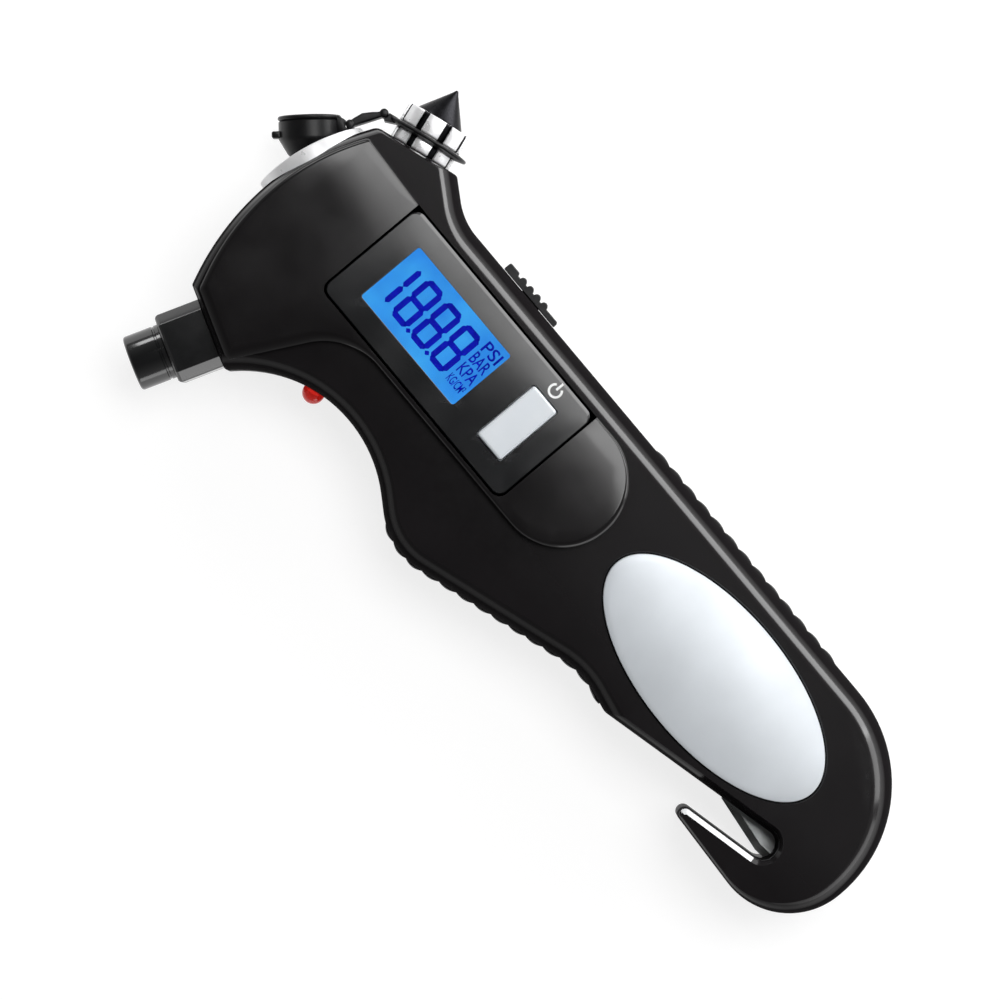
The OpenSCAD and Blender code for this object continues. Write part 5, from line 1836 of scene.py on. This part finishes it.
@dataclass
class HammerCap:
    """Rubber cap flipped back on its strap, made closed over the hammer and then opened."""

    rim: float = 8.15
    radius: float = 6.4
    wall: float = 1.0
    straight: float = 4.6
    length: float = 8.1
    end_radius: float = 4.4
    floor: float = 0.9
    ring_bead: Pair = (29.364, 82.941)
    cap_bead: Pair = (36.5735, 83.2968)
    bead: float = 0.9
    lug: Pairs = ((5.55, 8.25), (5.55, 12.45))
    lug_bead: Pair = (8.2, 10.15)
    lug_wrap: Pair = (-42.0, 95.0)
    tab: np.ndarray = field(default_factory=lambda: np.array([
        [-7.6, 11.15, 0.4], [-5.9, 11.15, 0.1], [-5.9, 12.55, 0.1], [-7.6, 12.55, 0.4]]))
    tab_half: float = 2.0
    tab_ends: Pairs = ((0.25, 0.0), (0.07, 0.07), (0.0, 0.25))
    rim_bead: float = 0.45
    neck: Pairs = ((1.2, 0.16), (4.3, 0.12))
    slope_share: float = 0.86
    end_soft: Pairs = ((0.22, 0.05), (0.05, 0.35), (0.0, 0.8))
    end_dish: Pairs = ((0.12, 1.4), (0.14, 0.0))
    strap_outer: float = 0.6
    strap_swell: Pairs = ((0.0, 0.6), (0.14, 0.6), (0.33, 1.0), (0.58, 1.35), (0.84, 0.95), (1.0, 0.6))
    strap_half: float = 3.0
    bead_ends: Pairs = ((0.25, 0.0), (0.08, 0.1), (0.0, 0.25))
    fold: float = 155.0
    tilt: float = 58.0

    def opened(self, piece: Piece, *turns: tuple[Pair, float]) -> Piece:
        """Turn a piece's points about upright axes, one after the other.

        Args:
            piece: The piece, made closed.
            turns: Place of each axis and its angle in degrees.

        Returns:
            The same piece.
        """
        for (x, y), angle in turns:
            shift = Matrix.Translation((x * MM, y * MM, 0))
            piece.data.transform(shift @ Matrix.Rotation(math.radians(angle), 4, "Z") @ shift.inverted())
        return piece

    def cup(self) -> Piece:
        """Make the cap: a turned cup with a beaded rim and a sloping end, its lug and its pull tab.

        Returns:
            The piece.
        """
        r, z, e, lip = self.radius, self.rim, self.end_radius, self.rim_bead
        step, end = z + self.straight, z + self.length
        bead = [(z + lip * (1 - np.cos(a)), r - lip * (1 - np.sin(a))) for a in np.linspace(0, np.pi, 9)]
        neck = [(z + along, r - inset) for along, inset in self.neck]
        slope = [(step + (end - step) * t, neck[-1][1] + (e - r) * t)
                 for t in np.linspace(0, self.slope_share, 5)]
        edge = [(end - back, e - inset) for back, inset in self.end_soft]
        dish = [(end - back, radius) for back, radius in self.end_dish]
        deep, bore, small, soft, ease, steps = end - self.floor, r - self.wall, e - self.wall, 0.3, 0.1, 5
        inner = [(deep, 0), (deep, small - soft), (deep - soft, small + ease),
                 (step - 2 * ease, bore), (z, bore)]
        cup = HAMMER.turned("flip_cap", [*inner, *bead, *neck, *slope, *edge, *dish], False, count=120)
        lug = knuckle_bar("lug", self.lug, self.lug_bead, self.lug_wrap)
        tab = across_hammer("tab", self.tab, self.tab_half, self.tab_ends, steps)
        carve(cup, [lug, tab], join=True)
        return self.opened(cup, (self.cap_bead, self.tilt), (self.ring_bead, self.fold))

    def strap(self) -> Piece:
        """Make the strap: a bar that swells towards its middle, with a round bead along each end.

        Returns:
            The piece.
        """
        a, b = np.array(self.ring_bead), np.array(self.cap_bead)
        half, inner, fillet = self.strap_half, self.strap_half - 0.15, 0.4
        rows = [(self.bead - inset, SEAM_Z - half + deep) for inset, deep in self.bead_ends]
        rows += [(self.bead - inset, SEAM_Z + half - deep) for inset, deep in reversed(self.bead_ends)]
        beads = [stacked("bead", round_rings(spot, rows, 40)) for spot in (a, b)]
        t = np.linspace(0, 1, 25)
        path = np.column_stack([a + (b - a) * t[:, None], np.full(len(t), SEAM_Z)])
        swell = np.interp(t, *np.array(self.strap_swell).T)
        section = np.stack([ring_of(box_corners((-self.strap_outer, -inner), (w, inner), fillet), 0.0, 5)
                            for w in swell])
        strap = carve(swept("cap_hinge_strap", path, section), beads, join=True)
        return self.opened(strap, (self.ring_bead, self.fold))

    def build(self) -> None:
        """Make and dress the cap and its strap."""
        show(self.strap(), "cap_rubber", Body.STRAP, "cap_strap")
        show(self.cup(), "cap_rubber", Body.CAP, "hammer_cap")


@dataclass
class Cutter:
    """Belt cutter's blade with its ground edge, and the pins that hold it."""

    corners: np.ndarray = field(default_factory=lambda: np.array([
        [-7.2, -66.0, 0.2], [-8.7, -78.4, 0.2], [-8.2, -82.6, 0.5], [1.5, -82.6, 1.0], [1.5, -67.6, 1.0]]))
    thick: float = 0.8
    grind: float = 1.5
    grind_crease: float = math.radians(8)
    pin_spots: Pairs = ((-1.2, -71.5), (-1.2, -79.5))
    pin_radius: float = 1.2
    pin_half: float = 3.8
    pin_gap: float = 0.05
    pin_chamfer: float = 0.2

    def blade(self) -> Piece:
        """Make the blade: its outline at mid height, with the cutting edge moved in above and below.

        Returns:
            The piece.
        """
        edge = np.zeros(len(self.corners))
        edge[:2] = self.grind
        half, hole_half = self.thick / 2, 2.0
        rows = [(edge, -half), (edge * 0, 0.0), (edge, half)]
        rings = [at_height(ring_of(self.corners, inset, 6), SEAM_Z + z) for inset, z in rows]
        holes = [self.rod("hole", spot, self.pin_radius + self.pin_gap, hole_half) for spot in self.pin_spots]
        return carve(stacked("steel_blade", rings, self.grind_crease), holes, crease=self.grind_crease)

    def rod(self, name: str, spot: Pair, radius: float, half: float) -> Piece:
        """Make an upright rod about the seam with chamfered ends.

        Args:
            name: Name of the piece.
            spot: Its place in the plane.
            radius: Its radius.
            half: Half of its length.

        Returns:
            The piece.
        """
        small, upright = radius - self.pin_chamfer, half - self.pin_chamfer
        rows = [(small, -half), (radius, -upright), (radius, upright), (small, half)]
        return stacked(name, round_rings(spot, [(r, SEAM_Z + z) for r, z in rows], 40))

    def build(self) -> None:
        """Make and dress the blade and its pins."""
        show(self.blade(), "blade_steel", Body.CASING, "cutter_blade")
        pins = [self.rod(f"blade_pin_{i}", spot, self.pin_radius, self.pin_half)
                for i, spot in enumerate(self.pin_spots)]
        for pin in pins:
            show(pin, "screw_steel", Body.CASING, "blade_pins")


@dataclass
class BackFasteners:
    """Battery door on the back and the cross-head screws."""

    case_spots: Pairs = ((-14.5, 77.8), (-18.6, 12.5), (23.0, 2.0), (11.0, -85.5))
    door_low: Pair = (-3.4, -65.0)
    door_high: Pair = (21.6, -7.0)
    door_thick: float = 1.2
    door_fillet: float = 3.0
    door_edge: Pairs = ((0.35, 0.0), (0.1, 0.1), (0.0, 0.35))
    door_screw_at: Pair = (9.1, -10.5)
    seat_gap: float = 0.2
    seat_floor: float = 0.7
    seat_hole: float = 1.45
    seat_rim: Pairs = ((0.3, -0.3), (0.0, 0.25))
    head_radius: float = 2.3
    head_soft: Pairs = ((0.3, 0.0), (0.08, 0.1), (0.0, 0.3))
    shank_radius: float = 1.2
    shank_tip: Pair = (0.5, 0.6)
    cross_half: Pair = (1.35, 0.3)
    cross_depth: float = 0.75
    groove_count: int = 7
    groove_pitch: float = 1.6
    groove_first: float = 9.0
    groove_half: float = 6.5
    groove_taper: float = 0.35
    groove_radius: float = 0.55
    groove_z: float = -0.25
    circle_steps: int = 56

    def door(self) -> Piece:
        """Make the door: a plate with a soft outer edge, thumb grooves and a seat for its screw.

        Returns:
            The piece.
        """
        corners = box_corners(self.door_low, self.door_high, self.door_fillet)
        rows = [*self.door_edge, (0.0, self.door_thick)]
        plate = stacked("door_plate", [at_height(ring_of(corners, inset, 8), z) for inset, z in rows])
        h, hole, floor, above = self.head_radius + self.seat_gap, self.seat_hole, self.seat_floor, 3.0
        rows = [*((h + out, z) for out, z in self.seat_rim), (h, floor), (hole, floor), (hole, above)]
        tools = [stacked("seat", round_rings(self.door_screw_at, rows, self.circle_steps))]
        x, section = self.door_screw_at[0], oval_ring((0, 0), (self.groove_radius, self.groove_radius), 20)
        for i in range(self.groove_count):
            y = self.door_high[1] - self.groove_first - i * self.groove_pitch
            half = self.groove_half - self.groove_taper * (i - (self.groove_count - 1) / 2) ** 2
            across = np.linspace(x - half, x + half, 9)
            path = np.column_stack([across, np.full(len(across), y), np.full(len(across), self.groove_z)])
            tools.append(swept("groove", path, section))
        return carve(plate, tools)

    def screw(self, name: str, spot: Pair, face: float, head: float, tip: float) -> Piece:
        """Make a cross-head screw whose head faces down.

        Args:
            name: Name of the screw.
            spot: Place of its axis.
            face: Height of the head's outer face.
            head: Thickness of the head.
            tip: Height of the shank's end.

        Returns:
            The screw.
        """
        r, s, under, (point, taper) = self.head_radius, self.shank_radius, face + head, self.shank_tip
        rows = [(r - inset, face + deep) for inset, deep in self.head_soft]
        rows += [(r, under), (s, under), (s, tip - taper), (s - point, tip)]
        deep, below = face + self.cross_depth * head, face - 1
        tools = [plain_block("slot", (spot[0] - a, spot[1] - b, below), (spot[0] + a, spot[1] + b, deep))
                 for a, b in (self.cross_half, self.cross_half[::-1])]
        return carve(stacked(name, round_rings(spot, rows, self.circle_steps)), tools)

    def build(self) -> None:
        """Make and dress the door and the screws."""
        show(self.door(), "case_black", Body.CASING, "battery_door")
        screw = self.screw("door_cross_screw", self.door_screw_at, face=0.1, head=0.6, tip=5.1)
        show(screw, "screw_steel", Body.CASING, "door_screw")
        for i, spot in enumerate(self.case_spots):
            screw = self.screw(f"case_cross_screw_{i}", spot, face=1.6, head=1.4, tip=16.6)
            show(screw, "screw_steel", Body.CASING, "case_screws")


class Innards:
    """Solids of the frame, which keep their own mesh where no piece made later stands for them."""

    def build(self) -> None:
        """Give each solid the finish of its material slot."""
        for row in frame["record"]["subparts"]:
            node = frame["nodes"][row["node"]]
            node.data.materials.clear()
            node.data.materials.append(SHELF.get(row["material_slot"]))
            LOG.info("%s: solid of the frame, %s", row["node"], row["material_slot"])


@dataclass
class Lamp:
    """Soft rectangular lamp aimed at the tool, with its place and size in metres."""

    name: str
    spot: Triple
    size: Pair
    watts: float

    def build(self) -> None:
        """Make the lamp and turn its face to the tool."""
        light = bpy.data.lights.new(self.name, "AREA")
        light.shape, light.energy = "RECTANGLE", self.watts
        light.size, light.size_y = self.size
        lamp = bpy.data.objects.new(self.name, light)
        bpy.context.scene.collection.objects.link(lamp)
        lamp.location = self.spot
        lamp.rotation_euler = (-lamp.location).to_track_quat("-Z", "Y").to_euler()


@dataclass
class Studio:
    """Camera straight above the tool, white floor, soft lamps and a dim dome, placed in metres."""

    eye: Pair = (-0.00277, 0.00846)
    turn: float = -40.0
    focal_mm: float = 200.0
    sensor_mm: float = 36.0
    frame_width: float = 0.2
    subject_height: float = 0.02
    floor_half: float = 30.0
    floor_drop: float = 0.0003
    floor_grey: float = 0.29
    floor_glow: float = 0.80
    floor_roughness: float = 0.9
    dome_levels: Pairs = ((0.02, 0.35), (0.35, 0.30), (0.95, 0.06))
    lamps: tuple[Lamp, ...] = (
        Lamp("palm_side_lamp", (0.62, 0.0, 0.17), (0.6, 0.28), 3.5),
        Lamp("butt_corner_lamp", (0.50, -0.39, 0.17), (0.34, 0.28), 1.1),
        Lamp("butt_side_lamp", (-0.06, -0.65, 0.11), (0.95, 0.22), 1.2),
        Lamp("crown_lamp", (0.24, 0.75, 0.30), (0.3, 0.20), 1.0),
        Lamp("high_lamp", (0.44, 0.04, 1.2), (0.9, 0.56), 9.5),
    )

    def camera(self) -> None:
        """Make the camera, its distance set so that the frame is as wide as in the photograph."""
        lens = bpy.data.cameras.new("camera")
        lens.lens, lens.sensor_width = self.focal_mm, self.sensor_mm
        camera = bpy.data.objects.new("camera", lens)
        bpy.context.scene.collection.objects.link(camera)
        height = self.subject_height + self.frame_width * self.focal_mm / self.sensor_mm
        camera.location = (*self.eye, height)
        camera.rotation_euler = (0.0, 0.0, math.radians(self.turn))
        bpy.context.scene.camera = camera

    def floor(self) -> None:
        """Make the white floor, which keeps the shadow and shows near white where it is seen."""
        h, z = self.floor_half, -self.floor_drop
        mesh = bpy.data.meshes.new("floor")
        mesh.from_pydata([(-h, -h, z), (h, -h, z), (h, h, z), (-h, h, z)], [], [(0, 1, 2, 3)])
        floor = bpy.data.objects.new("floor", mesh)
        bpy.context.scene.collection.objects.link(floor)
        material = bpy.data.materials.new("floor_white")
        material.use_nodes = True
        nodes, links = material.node_tree.nodes, material.node_tree.links
        shader = nodes["Principled BSDF"]
        shader.inputs["Base Color"].default_value = (*[self.floor_grey] * 3, 1.0)
        shader.inputs["Roughness"].default_value = self.floor_roughness
        shader.inputs["Specular IOR Level"].default_value = 0.0
        shader.inputs["Emission Color"].default_value = (1.0, 1.0, 1.0, 1.0)
        path = nodes.new("ShaderNodeLightPath")
        seen = path.outputs["Is Camera Ray"]
        for kind in ("Is Transmission Ray", "Is Glossy Ray"):
            total = nodes.new("ShaderNodeMath")
            total.operation = "ADD"
            links.new(seen, total.inputs[0])
            links.new(path.outputs[kind], total.inputs[1])
            seen = total.outputs["Value"]
        share = nodes.new("ShaderNodeMath")
        share.operation, share.use_clamp = "MULTIPLY", True
        links.new(seen, share.inputs[0])
        share.inputs[1].default_value = self.floor_glow
        links.new(share.outputs["Value"], shader.inputs["Emission Strength"])
        mesh.materials.append(material)

    def dome(self) -> None:
        """Make the surrounding light: pale at the horizon and dim overhead."""
        world = bpy.data.worlds.new("studio_dome")
        bpy.context.scene.world = world
        world.use_nodes = True
        nodes, links = world.node_tree.nodes, world.node_tree.links
        place = nodes.new("ShaderNodeTexCoord")
        split = nodes.new("ShaderNodeSeparateXYZ")
        links.new(place.outputs["Generated"], split.inputs[0])
        ramp = nodes.new("ShaderNodeValToRGB")
        stops = ramp.color_ramp.elements
        for position, _ in self.dome_levels[1:-1]:
            stops.new(position)
        for stop, (position, level) in zip(stops, self.dome_levels):
            stop.position = position
            stop.color = (level, level, level, 1.0)
        links.new(split.outputs["Z"], ramp.inputs["Fac"])
        links.new(ramp.outputs["Color"], nodes["Background"].inputs["Color"])

    def build(self) -> None:
        """Set up the camera, the lights and the floor."""
        self.camera()
        self.floor()
        self.dome()
        for lamp in self.lamps:
            lamp.build()
        bpy.context.scene.view_settings.view_transform = "Standard"


def main() -> None:
    """Build the tool's sub-assemblies and the studio in order."""
    logging.basicConfig(level=logging.INFO, format="%(name)s: %(message)s")
    Innards().build()
    for kind in (Casing, Display, ValveChuck, Torch, Hammer, HammerCap, Cutter, BackFasteners):
        LOG.info("building %s", kind.__name__)
        kind().build()
    Studio().build()


if __name__ == "__main__":
    main()
